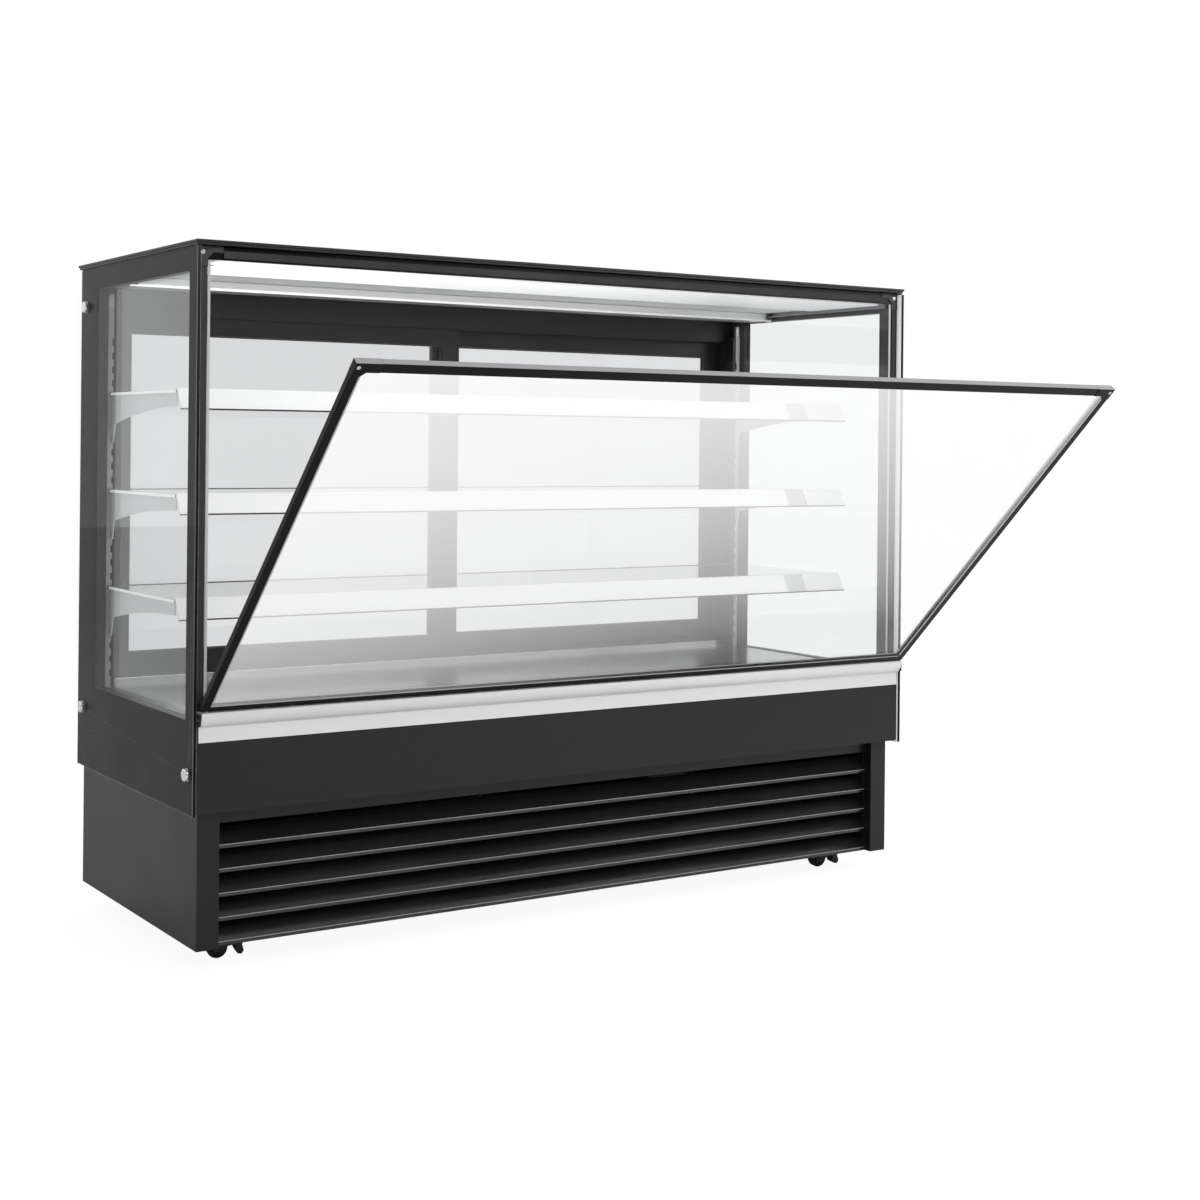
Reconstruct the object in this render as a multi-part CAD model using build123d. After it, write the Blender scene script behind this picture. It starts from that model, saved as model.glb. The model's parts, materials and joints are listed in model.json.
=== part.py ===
from build123d import *
import os
from math import cos, radians, sin

os.makedirs("parts", exist_ok=True)

# Frame: X runs to the right seen from the customer's side, Y to the service side, Z up from the floor.
# The origin is on the floor, under the middle of the whole case with its front door open.

# Overall sizes of the cabinet body, in millimetres
width = 1570.0
depth = 560.0
height = 1200.0
half = width / 2

# General fits and gauges
clear = 0.4
touch_gap = 0.2
steel = 1.5
running_gap = 0.05

# Casters
base_clear = 42.0
wheel_r = 18.0
wheel_w = 16.0
axle_r = 3.0
caster_plate_l = 70.0
caster_plate_w = 60.0
caster_plate_t = 2.5
caster_inset_x = 89.0
caster_inset_y = 90.0
caster_trail = 12.0
kingpin_r = 5.0
fork_t = 2.0
fork_gap = 1.2
fork_disc_r = 17.0
caster_bolt_r = 4.6
caster_bolt_l = 7.5
caster_bolt_inset = 8.0
pedal_pin_x = 11.0
pedal_pin_z = 26.0
pedal_pin_r = 1.5
pedal_neck_w = 17.0
pedal_len = 22.0
pedal_w = 24.0
front_caster_yaw = -12.0
rear_caster_yaw = 40.0

# Base cabinet
base_inset = 18.0
base_recess = 22.0
base_top = 268.0
post_w = 40.0
post_depth = 34.0
grille_set_back = 17.0
lintel_bottom = 244.5
slat_count = 5
slat_first_z = 48.5
slat_pitch = 40.0
slat_run = 27.0
slat_rise = 25.0
slat_lip = 6.0
slat_t = 1.4
pan_fold = 10.0
chassis_t = 2.0

# Well, deck and front
deck_top = 417.0
deck_t = 2.0
tub_wall = 20.0
tub_floor = 25.0
sheet_bottom = 266.0
fascia_bottom = 271.5
fascia_y = 3.0
trim_bottom = 385.7
trim_split = 410.7
trim_top = 435.5
trim_reach = 13.0
trim_skin = 1.6
trim_back = 11.0
notch_low = 422.0
band_y = 0.5
sill_top = 428.0
front_lip_top = 446.0
front_lip_t = 2.0

# Side walls
sheet_t = 6.0
print_t = 0.4
pane_t = 5.5
frame_w = 16.9
frame_recess = 13.5
window_front = 45.0
window_back = depth - 89.0
window_bottom = 418.0
window_top = height - 48.0
back_set = 8.0
cap_r = 10.5
cap_len = 8.0
cap_shank_r = 5.3
cap_hole_r = 5.5
cap_back_inset = 45.0
cap_top_inset = 80.5
cap_low_z = 378.0
cap_front_inset = 20.0
cap_front_z = 333.0

# Top
plate_h = 8.5
plate_upper_h = 4.5
plate_step = 2.0
plate_skin = 1.5
plate_over = 1.5
ceiling_z = height - 31.0
header_depth = 9.0
corner_t = 2.0
corner_leg = 44.0
corner_arm = 11.0
corner_drop = 34.0
corner_web = 10.0
corner_screw_r = 4.6
screw_socket_r = 2.0
corner_screw_inset = 8.6
corner_screw_drop = 10.5
lamp_t = 4.0
lamp_depth = 200.0
lamp_margin = 22.0
canopy_front = depth - 188.0
canopy_back = depth - 105.0
canopy_h = 16.0
canopy_splay = 6.0

# Shelves
shelf_count = 3
shelf_first_z = 604.0
shelf_pitch = 178.5
shelf_glass_t = 6.0
shelf_end_gap = 1.6
shelf_front = 153.0
shelf_back = depth - 82.0
strip_drop = 35.5
strip_lean = 18.4
strip_t = 3.0
strip_grip = 16.0
strip_rim = 2.0
insert_t = 1.0
insert_end_l = 104.4
insert_gap = 50.0
upright_w = 19.5
upright_d = 24.0
upright_wall = 1.5
upright_top = height - 81.0
upright_slot_pitch = 25.5
upright_slot_h = 13.0
upright_slot_w = 4.0
upright_hole_r = 4.5
bracket_t = 2.5
bracket_flange = 12.0
bracket_root = 86.0
bracket_neck = 52.0
bracket_tip = 22.0

# Service side
rear_front = depth - 48.0
rear_depth = 44.0
rear_header_z = height - 90.0
rear_sill_z = 434.0
jamb_w = 20.7
door2_t = 14.0
door2_stile = 42.0
door2_rail = 38.0
door2_overlap = 54.0
door2_groove = 8.0
door2_lift = 6.0
door2_glass_t = 5.0
door2_bite = 8.0
door2_front_gap = 5.0
door2_step_y = 18.0
pull_w = 18.0
pull_h = 90.0
pull_depth = 6.0

# Front door, drawn shut and then swung open to its stop
door_gap_side = 2.0
door_bottom = 438.0
door_top = height - 10.0
door_t = 11.0
door_side_w = 13.5
door_top_w = 17.0
door_bottom_w = 12.0
door_glass_t = 5.0
door_glass_bite = 8.0
door_lip_w = 3.0
door_cap_l = 42.0
door_cap_drop = 24.0
door_cap_web = 8.0
door_cap_proud = 0.5
door_open_deg = 43.5
pivot_y = -4.5
pivot_z = 423.5
arm_t = 3.0
arm_inset = 14.6
arm_r = 4.0
pin_r = 2.5
hinge_plate_t = 3.0
hinge_plate_bottom = 414.0
hinge_plate_top = 433.5
trim_end_gap = 0.3
seal_t = 2.0
seal_w = 12.0

# Machinery in the base and the well
compressor_r = 72.0
compressor_h = 170.0
compressor_x = 420.0
compressor_y = 330.0
condenser_w = 330.0
condenser_d = 60.0
condenser_h = 176.0
condenser_x = -330.0
condenser_y = 130.0
fin_count = 24
fan_r = 76.0
fan_shroud_d = 34.0
fan_blades = 5
fan_hub_r = 22.0
fan_shaft_r = 4.0
evaporator_w = 900.0
evaporator_d = 80.0
evaporator_h = 84.0
evaporator_y = 330.0
evaporator_fan_r = 42.0
evaporator_x = -120.0
evaporator_fan_x = 450.0

# Controls on the service side
panel_t = 5.0
switch_w = 19.0
switch_h = 13.0
switch_pitch = 40.0
switch_x = -300.0
switch_z = 345.0
inlet_x = 560.0
thermostat_w = 76.0
thermostat_h = 34.0
vent_slots = 9
vent_x = 450.0
vent_w = 300.0
vent_first = 45.0
vent_pitch = 16.0
vent_h = 5.0


# Reach of the open front door and of the top plate from the side sheets' front edges
open_angle = radians(door_open_deg)
corner_y = -door_cap_proud - pivot_y
corner_z = door_top - pivot_z
front_reach = corner_z * sin(open_angle) - corner_y * cos(open_angle) - pivot_y
rear_reach = depth + plate_over
front = (front_reach - rear_reach) / 2
back = front + depth


def block(x0, x1, y0, y1, z0, z1):
    """A box between two corners."""
    centre = Pos((x0 + x1) / 2, (y0 + y1) / 2, (z0 + z1) / 2)
    return centre * Box(abs(x1 - x0), abs(y1 - y0), abs(z1 - z0))


def sided(x0, x1, y0, y1, z0, z1):
    """The same box on the right and on the left."""
    return [block(x0, x1, y0, y1, z0, z1), block(-x1, -x0, y0, y1, z0, z1)]


def mirrored(solid):
    """A solid and its mirror image across the middle of the cabinet."""
    return [solid, mirror(solid, about=Plane.YZ)]


def rod_x(x0, x1, y, z, r):
    """A round bar along X."""
    return Pos((x0 + x1) / 2, y, z) * Rot(0, 90, 0) * Cylinder(r, abs(x1 - x0))


def rod_y(x, y0, y1, z, r):
    """A round bar along Y."""
    return Pos(x, (y0 + y1) / 2, z) * Rot(90, 0, 0) * Cylinder(r, abs(y1 - y0))


def rod_z(x, y, z0, z1, r):
    """A round bar along Z."""
    return Pos(x, y, (z0 + z1) / 2) * Cylinder(r, abs(z1 - z0))


def run_x(points, x0, x1):
    """A profile of (y, z) points drawn out along X."""
    outline = Plane.YZ.offset(x0) * Polygon(*points, align=None)
    return extrude(outline, x1 - x0, dir=(1, 0, 0))


def sheet_run(sketch, x0, x1):
    """A sketch in the YZ plane drawn out along X."""
    return extrude(Plane.YZ.offset(x0) * sketch, x1 - x0, dir=(1, 0, 0))


def rect(y0, y1, z0, z1):
    """A rectangle between two (y, z) corners."""
    return Pos((y0 + y1) / 2, (z0 + z1) / 2) * Rectangle(abs(y1 - y0), abs(z1 - z0))


def as_list(shape):
    """The separate solids of a result."""
    if isinstance(shape, (list, tuple)):
        return [solid for item in shape for solid in as_list(item)]
    return list(shape.solids())


def save(name, *shapes):
    """Write one node as a STEP file."""
    solids = as_list(list(shapes))
    export_step(Compound(children=solids), f"parts/{name}.step")


base_half = half - base_inset
sheet_in = half - sheet_t
frame_out = sheet_in - print_t
frame_in = frame_out - frame_w
pane_in = frame_in - pane_t
frame_front = front + frame_recess
frame_back = back - back_set
grille_y = front + base_recess + grille_set_back
body_top = height - plate_h
trim_half = frame_out - trim_end_gap - hinge_plate_t - trim_end_gap
arm_x = frame_out - arm_inset
cap_places = [
    (depth - cap_back_inset, height - cap_top_inset),
    (depth - cap_back_inset, cap_low_z),
    (cap_front_inset, cap_front_z),
]


def base_cabinet():
    """Folded steel base: chassis pan, side panels, front posts and the louvred grille."""
    pan_half = base_half - steel
    pan_front = grille_y + slat_run + slat_t
    pan = block(-pan_half, pan_half, pan_front, back - steel, base_clear, base_clear + chassis_t)
    pan += block(-pan_half, pan_half, pan_front, pan_front + chassis_t, base_clear + chassis_t,
                 base_clear + chassis_t + pan_fold)
    save("base_chassis", pan)
    sides = sided(base_half - steel, base_half, front + base_recess + post_depth, back,
                  base_clear, base_top)
    post = block(base_half - post_w, base_half, front + base_recess,
                 front + base_recess + post_depth, base_clear, base_top)
    hollow = block(base_half - post_w + steel, base_half - steel, front + base_recess + steel,
                   front + base_recess + post_depth, base_clear, base_top)
    save("base_side_panels", sides, mirrored(post - hollow))
    grille_half = base_half - post_w
    lintel = block(-grille_half, grille_half, grille_y, grille_y + steel, lintel_bottom, base_top)
    lintel += block(-grille_half, grille_half, grille_y, grille_y + 14, lintel_bottom,
                    lintel_bottom + steel)
    ends = sided(grille_half - steel, grille_half, grille_y + 2 * steel, grille_y + slat_run,
                 base_clear, lintel_bottom)
    save("grille_frame", lintel, ends)
    slats = []
    slat_half = grille_half - steel
    for k in range(slat_count):
        z = slat_first_z + k * slat_pitch
        outline = [
            (grille_y, z - slat_lip), (grille_y + slat_t, z - slat_lip),
            (grille_y + slat_t, z - slat_t), (grille_y + slat_run, z + slat_rise - slat_t),
            (grille_y + slat_run, z + slat_rise), (grille_y, z),
        ]
        slats.append(run_x(outline, -slat_half, slat_half))
    save("grille_slats", slats)


def rear_panel():
    """Louvred service panel that closes the back of the base."""
    panel_half = base_half - steel
    panel = block(-panel_half, panel_half, back - steel, back, base_clear, base_top)
    for bank_x in (-vent_x, vent_x):
        for k in range(vent_slots):
            z = base_clear + vent_first + k * vent_pitch
            panel -= block(bank_x - vent_w / 2, bank_x + vent_w / 2, back - 3 * steel,
                           back + steel, z, z + vent_h)
    save("rear_service_panel", panel)


def well():
    """Insulated tub under the deck, the steel deck with its upstands, and the front panel."""
    tub_top = deck_top - deck_t
    floor_top = base_top + tub_floor
    well_front = frame_front + tub_wall
    well_back = frame_back - tub_wall
    slabs = [
        block(-frame_in, frame_in, frame_front, frame_back, base_top, floor_top),
        block(-frame_in, frame_in, frame_front, well_front, floor_top, tub_top),
        block(-frame_in, frame_in, well_back, frame_back, floor_top, tub_top),
    ]
    slabs += sided(frame_in - tub_wall, frame_in, well_front, well_back, floor_top, tub_top)
    save("well_tub", slabs)
    deck_half = pane_in - touch_gap
    deck_back = front + rear_front
    deck = block(-deck_half, deck_half, frame_front, deck_back, deck_top - deck_t, deck_top)
    deck += block(-deck_half, deck_half, deck_back - 7, deck_back, deck_top, sill_top)
    deck += block(-deck_half, deck_half, frame_front, frame_front + front_lip_t, deck_top,
                  front_lip_top)
    save("deck_floor", deck)
    fascia_half = frame_out - trim_end_gap
    fascia = block(-fascia_half, fascia_half, front + fascia_y, front + fascia_y + steel,
                   fascia_bottom, trim_split)
    fascia += block(-fascia_half, fascia_half, front + fascia_y, frame_front,
                    fascia_bottom - steel, fascia_bottom)
    save("front_fascia", fascia)


def bumper():
    """Aluminium bumper rail: a hollow round nose over a flat band, with notches for the hinge arms."""
    nose_w = trim_reach + band_y
    nose_h = trim_top - trim_split
    nose = Pos(front + band_y, trim_top) * Ellipse(nose_w, nose_h)
    nose &= rect(front - trim_reach, front + band_y, trim_split, trim_top)
    wall = rect(front + band_y, front + fascia_y, trim_bottom, trim_top)
    flange = rect(front, front + trim_back, trim_top - trim_skin, trim_top)
    hollow = Pos(front + band_y, trim_top) * Ellipse(nose_w - trim_skin, nose_h - trim_skin)
    hollow &= rect(front - trim_reach, front + band_y + 0.9, trim_split + trim_skin,
                   trim_top - trim_skin)
    profile = nose + wall + flange - hollow
    rail = sheet_run(profile, -trim_half, trim_half)
    for side in (1, -1):
        x0 = arm_x - trim_skin
        x1 = arm_x + arm_t + trim_skin
        notch = block(side * x0, side * x1, front - trim_reach + trim_skin, front + trim_back,
                      trim_top - 2 * trim_skin, trim_top + 1)
        rail -= notch
        rail -= block(side * x0, side * x1, front + band_y, front + fascia_y + 1, notch_low,
                      trim_top)
    save("bumper_trim", rail)


def side_walls():
    """Each side wall: printed outer sheet, black spacer frame, inner pane and standoff caps."""
    sheets = []
    prints = []
    frames = []
    panes = []
    caps = []
    sheet = block(sheet_in, half, front, back, sheet_bottom, body_top - clear)
    mask = block(frame_out, sheet_in, front, back, sheet_bottom, body_top - clear)
    mask -= block(frame_out - 1, half, front + window_front, front + window_back, window_bottom,
                  window_top)
    for y, z in cap_places:
        hole = rod_x(frame_out - 1, half + 1, front + y, z, cap_hole_r)
        sheet -= hole
        mask -= hole
        cap = rod_x(half, half + cap_len, front + y, z, cap_r)
        cap = fillet(cap.edges().sort_by(Axis.X)[-1], cap_len / 4)
        caps += mirrored(cap + rod_x(frame_out, half, front + y, z, cap_shank_r))
    sheets += mirrored(sheet)
    prints += mirrored(mask)
    bars = [
        (frame_front, front + window_front, sheet_bottom + 2, body_top),
        (front + window_back, frame_back, sheet_bottom + 2, body_top),
        (front + window_front, front + window_back, sheet_bottom + 2, window_bottom),
        (front + window_front, front + window_back, window_top, body_top),
    ]
    for y0, y1, z0, z1 in bars:
        frames += sided(frame_in, frame_out, y0, y1, z0, z1)
    panes += sided(pane_in, frame_in, frame_front, front + rear_front, deck_top - deck_t, ceiling_z)
    save("side_sheets", sheets)
    save("side_prints", prints)
    save("side_frames", frames)
    save("side_panes", panes)
    return caps


def top(wall_caps):
    """Header rail, corner pieces, ceiling, lamp panel, air canopy and top plate."""
    header = block(-frame_in, frame_in, frame_front, frame_front + header_depth, ceiling_z, body_top)
    save("header_bar", header)
    corner_front = frame_front - corner_t
    corner_out = frame_out
    outline = make_face(Polyline(
        (corner_out, body_top), (corner_out - corner_leg, body_top),
        (corner_out - corner_leg, body_top - corner_arm),
        (frame_in - corner_web, body_top - corner_arm),
        (frame_in, body_top - corner_arm - corner_web), (frame_in, body_top - corner_drop),
        (corner_out, body_top - corner_drop), close=True))
    corner = extrude(Plane.XZ.offset(-corner_front) * outline, -corner_t)
    screw_x = corner_out - corner_screw_inset
    screw_z = body_top - corner_screw_drop
    bore = rod_y(screw_x, corner_front - 1, frame_front + 1, screw_z, corner_screw_r)
    corner = corner - bore
    save("header_corners", mirrored(corner))
    screw = rod_y(screw_x, corner_front + touch_gap, frame_front, screw_z,
                  corner_screw_r - 2 * running_gap)
    screw -= rod_y(screw_x, corner_front - 1, corner_front + 1.3, screw_z, screw_socket_r)
    save("case_fixings", wall_caps, mirrored(screw))
    ceiling_front = frame_front + header_depth
    ceiling = block(-frame_in, frame_in, ceiling_front, front + rear_front, ceiling_z, body_top)
    save("ceiling_panel", ceiling)
    lamp_half = pane_in - lamp_margin
    lamp = block(-lamp_half, lamp_half, ceiling_front + clear, ceiling_front + lamp_depth,
                 ceiling_z - lamp_t, ceiling_z)
    save("lamp_panel", lamp)
    canopy_half = pane_in - touch_gap
    canopy_outline = [
        (front + canopy_front, ceiling_z),
        (front + canopy_front + canopy_splay / 2, ceiling_z - canopy_h),
        (front + canopy_back, ceiling_z - canopy_h),
        (front + canopy_back + canopy_splay, ceiling_z),
    ]
    save("led_canopy", run_x(canopy_outline, -canopy_half, canopy_half))
    plate_half = half + plate_over
    plate_back = back + plate_over
    plate = block(-plate_half, plate_half, front, plate_back, height - plate_upper_h, height)
    plate += block(-plate_half + plate_step, plate_half - plate_step, front + plate_step,
                   plate_back - plate_step, body_top, height - plate_upper_h)
    inner = plate_step + plate_skin
    plate -= block(-plate_half + inner, plate_half - inner, front + inner, plate_back - inner,
                   body_top - 1, height - plate_skin)
    save("top_plate", plate)


def shelf_zs():
    """The top of each glass shelf, from the lowest up."""
    return [shelf_first_z + k * shelf_pitch for k in range(shelf_count)]


def shelves():
    """Slotted uprights, brackets, glass shelves and their sloping front strips."""
    up_out = pane_in
    up_in = up_out - upright_w
    up_front = front + shelf_back + 2
    up_back = up_front + upright_d
    upright = block(up_in, up_out, up_front, up_back, deck_top, upright_top)
    upright -= block(up_in + upright_wall, up_out - upright_wall, up_front + upright_wall,
                     up_back, deck_top, upright_top)
    slot_x = (up_in + up_out) / 2
    slots = int((upright_top - deck_top - 2 * upright_slot_pitch) / upright_slot_pitch)
    for k in range(slots):
        z = deck_top + upright_slot_pitch * (k + 1)
        slot_r = upright_slot_w / 2
        slot_end = upright_slot_h / 2 - slot_r
        slot = block(slot_x - slot_r, slot_x + slot_r, up_front - 1, up_front + 2 * upright_wall,
                     z - slot_end, z + slot_end)
        slot += rod_y(slot_x, up_front - 1, up_front + 2 * upright_wall, z - slot_end, slot_r)
        slot += rod_y(slot_x, up_front - 1, up_front + 2 * upright_wall, z + slot_end, slot_r)
        upright -= slot
    for k in range(slots // 4):
        z = deck_top + upright_slot_pitch * (4 * k + 2.8)
        upright -= rod_x(up_out - 2 * upright_wall, up_out + 1, (up_front + up_back) / 2, z,
                         upright_hole_r)
    save("shelf_uprights", mirrored(upright))
    brackets = []
    panes = []
    strips = []
    inserts = []
    pane_half = pane_in - shelf_end_gap
    tip_y = front + shelf_front + strip_grip + 2
    br_out = slot_x + bracket_t / 2
    br_in = slot_x - bracket_t / 2
    for z in shelf_zs():
        under = z - shelf_glass_t
        seat = under
        top_line = Polyline((tip_y, seat), (up_front, seat), (up_front, seat - bracket_root))
        toe = Line((up_front, seat - bracket_root), (up_front - 6, seat - bracket_root))
        rise = Line((up_front - 6, seat - bracket_root), (up_front - 14, seat - bracket_neck))
        sweep_mid = ((up_front + tip_y) / 2, seat - (bracket_neck + bracket_tip) / 2 + 6)
        belly = ThreePointArc((up_front - 14, seat - bracket_neck), sweep_mid,
                              (tip_y, seat - bracket_tip))
        nose = Line((tip_y, seat - bracket_tip), (tip_y, seat))
        face = make_face(top_line + toe + rise + belly + nose)
        plate = sheet_run(face, br_in, br_out)
        plate += block(br_out - bracket_flange, br_out, tip_y, up_front - 1, seat - bracket_t, seat)
        brackets += mirrored(plate)
        panes.append(block(-pane_half, pane_half, front + shelf_front + strip_t,
                           front + shelf_back, under, z))
        strips.append(front_strip(z, pane_half))
        inserts += strip_inserts(z, pane_half)
    save("shelf_brackets", brackets)
    save("shelf_panes", panes)
    save("shelf_strips", strips)
    save("strip_inserts", inserts)


def strip_points(z):
    """Top and bottom of a strip's sloping face, and the way its face looks."""
    top_pt = (front + shelf_front, z + strip_rim)
    bottom_pt = (front + shelf_front - strip_lean, z + strip_rim - strip_drop)
    length = (strip_lean ** 2 + strip_drop ** 2) ** 0.5
    normal = (-strip_drop / length, strip_lean / length)
    return top_pt, bottom_pt, normal


def front_strip(z, strip_half):
    """Aluminium strip that grips the shelf's front edge and slopes forward below it."""
    top_pt, bottom_pt, normal = strip_points(z)
    step = (-normal[0] * strip_t, -normal[1] * strip_t)
    slope = [top_pt, bottom_pt, (bottom_pt[0] + step[0], bottom_pt[1] + step[1]),
             (top_pt[0] + step[0], top_pt[1] + step[1])]
    under = z - shelf_glass_t
    body = run_x(slope, -strip_half, strip_half)
    y0 = front + shelf_front
    body += block(-strip_half, strip_half, y0, y0 + strip_grip, z, z + strip_rim)
    body += block(-strip_half, strip_half, y0 - strip_t, y0 + strip_grip, under - strip_rim, under)
    return body


def strip_inserts(z, strip_half):
    """White price inserts on the strip: a long one, a gap, and a short one at the right."""
    top_pt, bottom_pt, normal = strip_points(z)
    step = (normal[0] * insert_t, normal[1] * insert_t)
    slope = [top_pt, bottom_pt, (bottom_pt[0] + step[0], bottom_pt[1] + step[1]),
             (top_pt[0] + step[0], top_pt[1] + step[1])]
    gap_end = strip_half - insert_end_l
    long_insert = run_x(slope, -strip_half, gap_end - insert_gap)
    short_insert = run_x(slope, gap_end, strip_half)
    return [long_insert, short_insert]


def sliding_door(left):
    """One framed rear door, drawn shut: its four rails, its glass and its finger pull."""
    inner_half = frame_in - jamb_w - 1
    y0 = front + rear_front + door2_front_gap + (0 if left else door2_step_y)
    y1 = y0 + door2_t
    z0 = rear_sill_z - door2_groove / 2 + clear
    z1 = rear_header_z + door2_lift
    x0 = -inner_half if left else -door2_overlap / 2
    x1 = door2_overlap / 2 if left else inner_half
    z_low = rear_sill_z + door2_rail
    z_high = rear_header_z - door2_rail + 5
    bars = [
        block(x0, x0 + door2_stile, y0, y1, z0, z1),
        block(x1 - door2_stile, x1, y0, y1, z0, z1),
        block(x0 + door2_stile, x1 - door2_stile, y0, y1, z0, z_low),
        block(x0 + door2_stile, x1 - door2_stile, y0, y1, z_high, z1),
    ]
    gy0 = (y0 + y1 - door2_glass_t) / 2
    glass = block(x0 + door2_stile - door2_bite, x1 - door2_stile + door2_bite, gy0,
                  gy0 + door2_glass_t, z_low - door2_bite, z_high + door2_bite)
    bars = [bar - glass for bar in bars]
    pull_x = (x0 if left else x1 - door2_stile) + door2_stile / 2
    pull_z = (z0 + z1) / 2
    recess = block(pull_x - pull_w / 2, pull_x + pull_w / 2, y1 - pull_depth, y1 + 1,
                   pull_z - pull_h / 2, pull_z + pull_h / 2)
    stile = 0 if left else 1
    bars[stile] = bars[stile] - recess
    return bars, glass


def service_side():
    """Rear door frame with two tracks and the two sliding doors."""
    y0 = front + rear_front
    y1 = y0 + rear_depth
    header = block(-frame_in, frame_in, y0, y1, rear_header_z, body_top)
    sill = block(-frame_in, frame_in, y0, y1, deck_top - deck_t, rear_sill_z)
    opening = frame_in - jamb_w
    for k in range(2):
        track0 = front + rear_front + door2_front_gap + k * door2_step_y - 1
        track1 = track0 + door2_t + 2
        header -= block(-opening, opening, track0, track1, rear_header_z - 1,
                        rear_header_z + door2_groove)
        sill -= block(-opening, opening, track0, track1, rear_sill_z - door2_groove / 2,
                      rear_sill_z + 1)
    jambs = sided(opening, frame_in, y0, y1, rear_sill_z, rear_header_z)
    save("rear_frame", header, sill, jambs)
    for left in (True, False):
        bars, glass = sliding_door(left)
        side = "left" if left else "right"
        save(f"rear_door_{side}_frame", bars)
        save(f"rear_door_{side}_glass", glass)


def swung(shapes):
    """Swing front door pieces from shut to their rest place against the open stop."""
    axis = Axis((0, front + pivot_y, pivot_z), (1, 0, 0))
    return [solid.rotate(axis, door_open_deg) for solid in as_list(shapes)]


def front_door():
    """Tilting front door: rails, glass, inner lips, corner caps, screws and hinge arms."""
    door_half = sheet_in - door_gap_side
    y0 = front
    y1 = front + door_t
    cap_in = door_half - door_cap_l
    cap_low = door_top - door_cap_drop
    side_in = door_half - door_side_w
    top_rail = block(-cap_in, cap_in, y0, y1, door_top - door_top_w, door_top)
    bottom_rail = block(-side_in, side_in, y0, y1, door_bottom, door_bottom + door_bottom_w)
    sides = sided(side_in, door_half, y0, y1, door_bottom, cap_low)
    glass_y = y0 + (door_t - door_glass_t) / 2
    glass = block(-side_in - door_glass_bite, side_in + door_glass_bite, glass_y,
                  glass_y + door_glass_t, door_bottom + door_bottom_w - door_glass_bite,
                  door_top - door_top_w + door_glass_bite)
    rails = [rail - glass for rail in [top_rail, bottom_rail] + sides]
    save("door_rails", swung(rails))
    save("door_glass", swung(glass))
    proud = door_cap_proud
    outline = make_face(Polyline(
        (door_half, door_top), (cap_in, door_top), (cap_in, door_top - door_top_w),
        (side_in - door_cap_web, door_top - door_top_w),
        (side_in, door_top - door_top_w - door_cap_web), (side_in, cap_low),
        (door_half, cap_low), close=True))
    cap = extrude(Plane.XZ.offset(-(y0 - proud)) * outline, -(door_t + proud))
    cap = cap - glass
    screw_x = door_half - door_side_w / 2
    screw_z = door_top - door_top_w / 2
    cap -= rod_y(screw_x, y0 - 2, y0 + 2, screw_z, 3.2)
    save("door_corner_caps", swung(mirrored(cap)))
    screw = rod_y(screw_x, y0 - proud, y0 + 2, screw_z, 3.0)
    screw -= rod_y(screw_x, y0 - 2, y0 + 0.5, screw_z, 1.4)
    save("door_screws", swung(mirrored(screw)))
    lip_y0 = glass_y + door_glass_t
    lip_z0 = door_bottom + door_bottom_w
    lip_z1 = door_top - door_top_w
    lips = sided(side_in - door_lip_w, side_in, lip_y0, y1, lip_z0 + door_lip_w,
                 lip_z1 - door_cap_web)
    lips += sided(side_in - door_lip_w, side_in, y0 + 0.5, glass_y, lip_z0 + door_lip_w,
                  lip_z1 - door_cap_web)
    save("door_lips", swung(lips))
    pin_y = front + pivot_y
    blade = [
        (pin_y - arm_r, pivot_z), (pin_y, pivot_z - arm_r), (pin_y + arm_r, pivot_z),
        (y1 - 2.0, door_bottom), (y0 + 1.0, door_bottom),
    ]
    arm = run_x(blade, arm_x, arm_x + arm_t)
    arm += rod_x(arm_x, arm_x + arm_t, pin_y, pivot_z, arm_r)
    arm += rod_x(arm_x, frame_out - touch_gap, pin_y, pivot_z, pin_r)
    save("door_hinge_arms", swung(mirrored(arm)))


def hinge_and_seal():
    """Hinge plates fixed to the side frames, and the seal that the shut door meets."""
    out = frame_out
    y_low = front - trim_reach + 3
    plate = block(out - hinge_plate_t, out, y_low, frame_front, hinge_plate_bottom, hinge_plate_top)
    plate += block(frame_in, out, frame_front - hinge_plate_t, frame_front, hinge_plate_bottom,
                   hinge_plate_top)
    plate -= rod_x(out - hinge_plate_t - 1, out + 1, front + pivot_y, pivot_z,
                   pin_r + running_gap)
    save("hinge_plates", mirrored(plate))
    seal_y0 = frame_front - seal_t
    seal_x1 = frame_out - 3
    seal_x0 = seal_x1 - seal_w
    strips = sided(seal_x0, seal_x1, seal_y0, frame_front, front_lip_top + 1,
                   body_top - corner_drop - 1)
    top_half = frame_out - corner_leg - 1
    strips.append(block(-top_half, top_half, seal_y0, frame_front, ceiling_z + 3,
                        ceiling_z + 3 + seal_w))
    strips.append(block(-pane_in + 1, pane_in - 1, seal_y0, frame_front, front_lip_top - 8,
                        front_lip_top))
    save("door_seal", strips)


def caster_spots():
    """Swivel axis of each caster and the way its trail points, as (name, x, y, yaw)."""
    x = base_half - caster_inset_x
    y_front = front + base_recess + caster_inset_y
    y_rear = back - caster_inset_y
    return [
        ("front_left", -x, y_front, front_caster_yaw), ("front_right", x, y_front, front_caster_yaw),
        ("rear_left", -x, y_rear, rear_caster_yaw), ("rear_right", x, y_rear, rear_caster_yaw),
    ]


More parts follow.
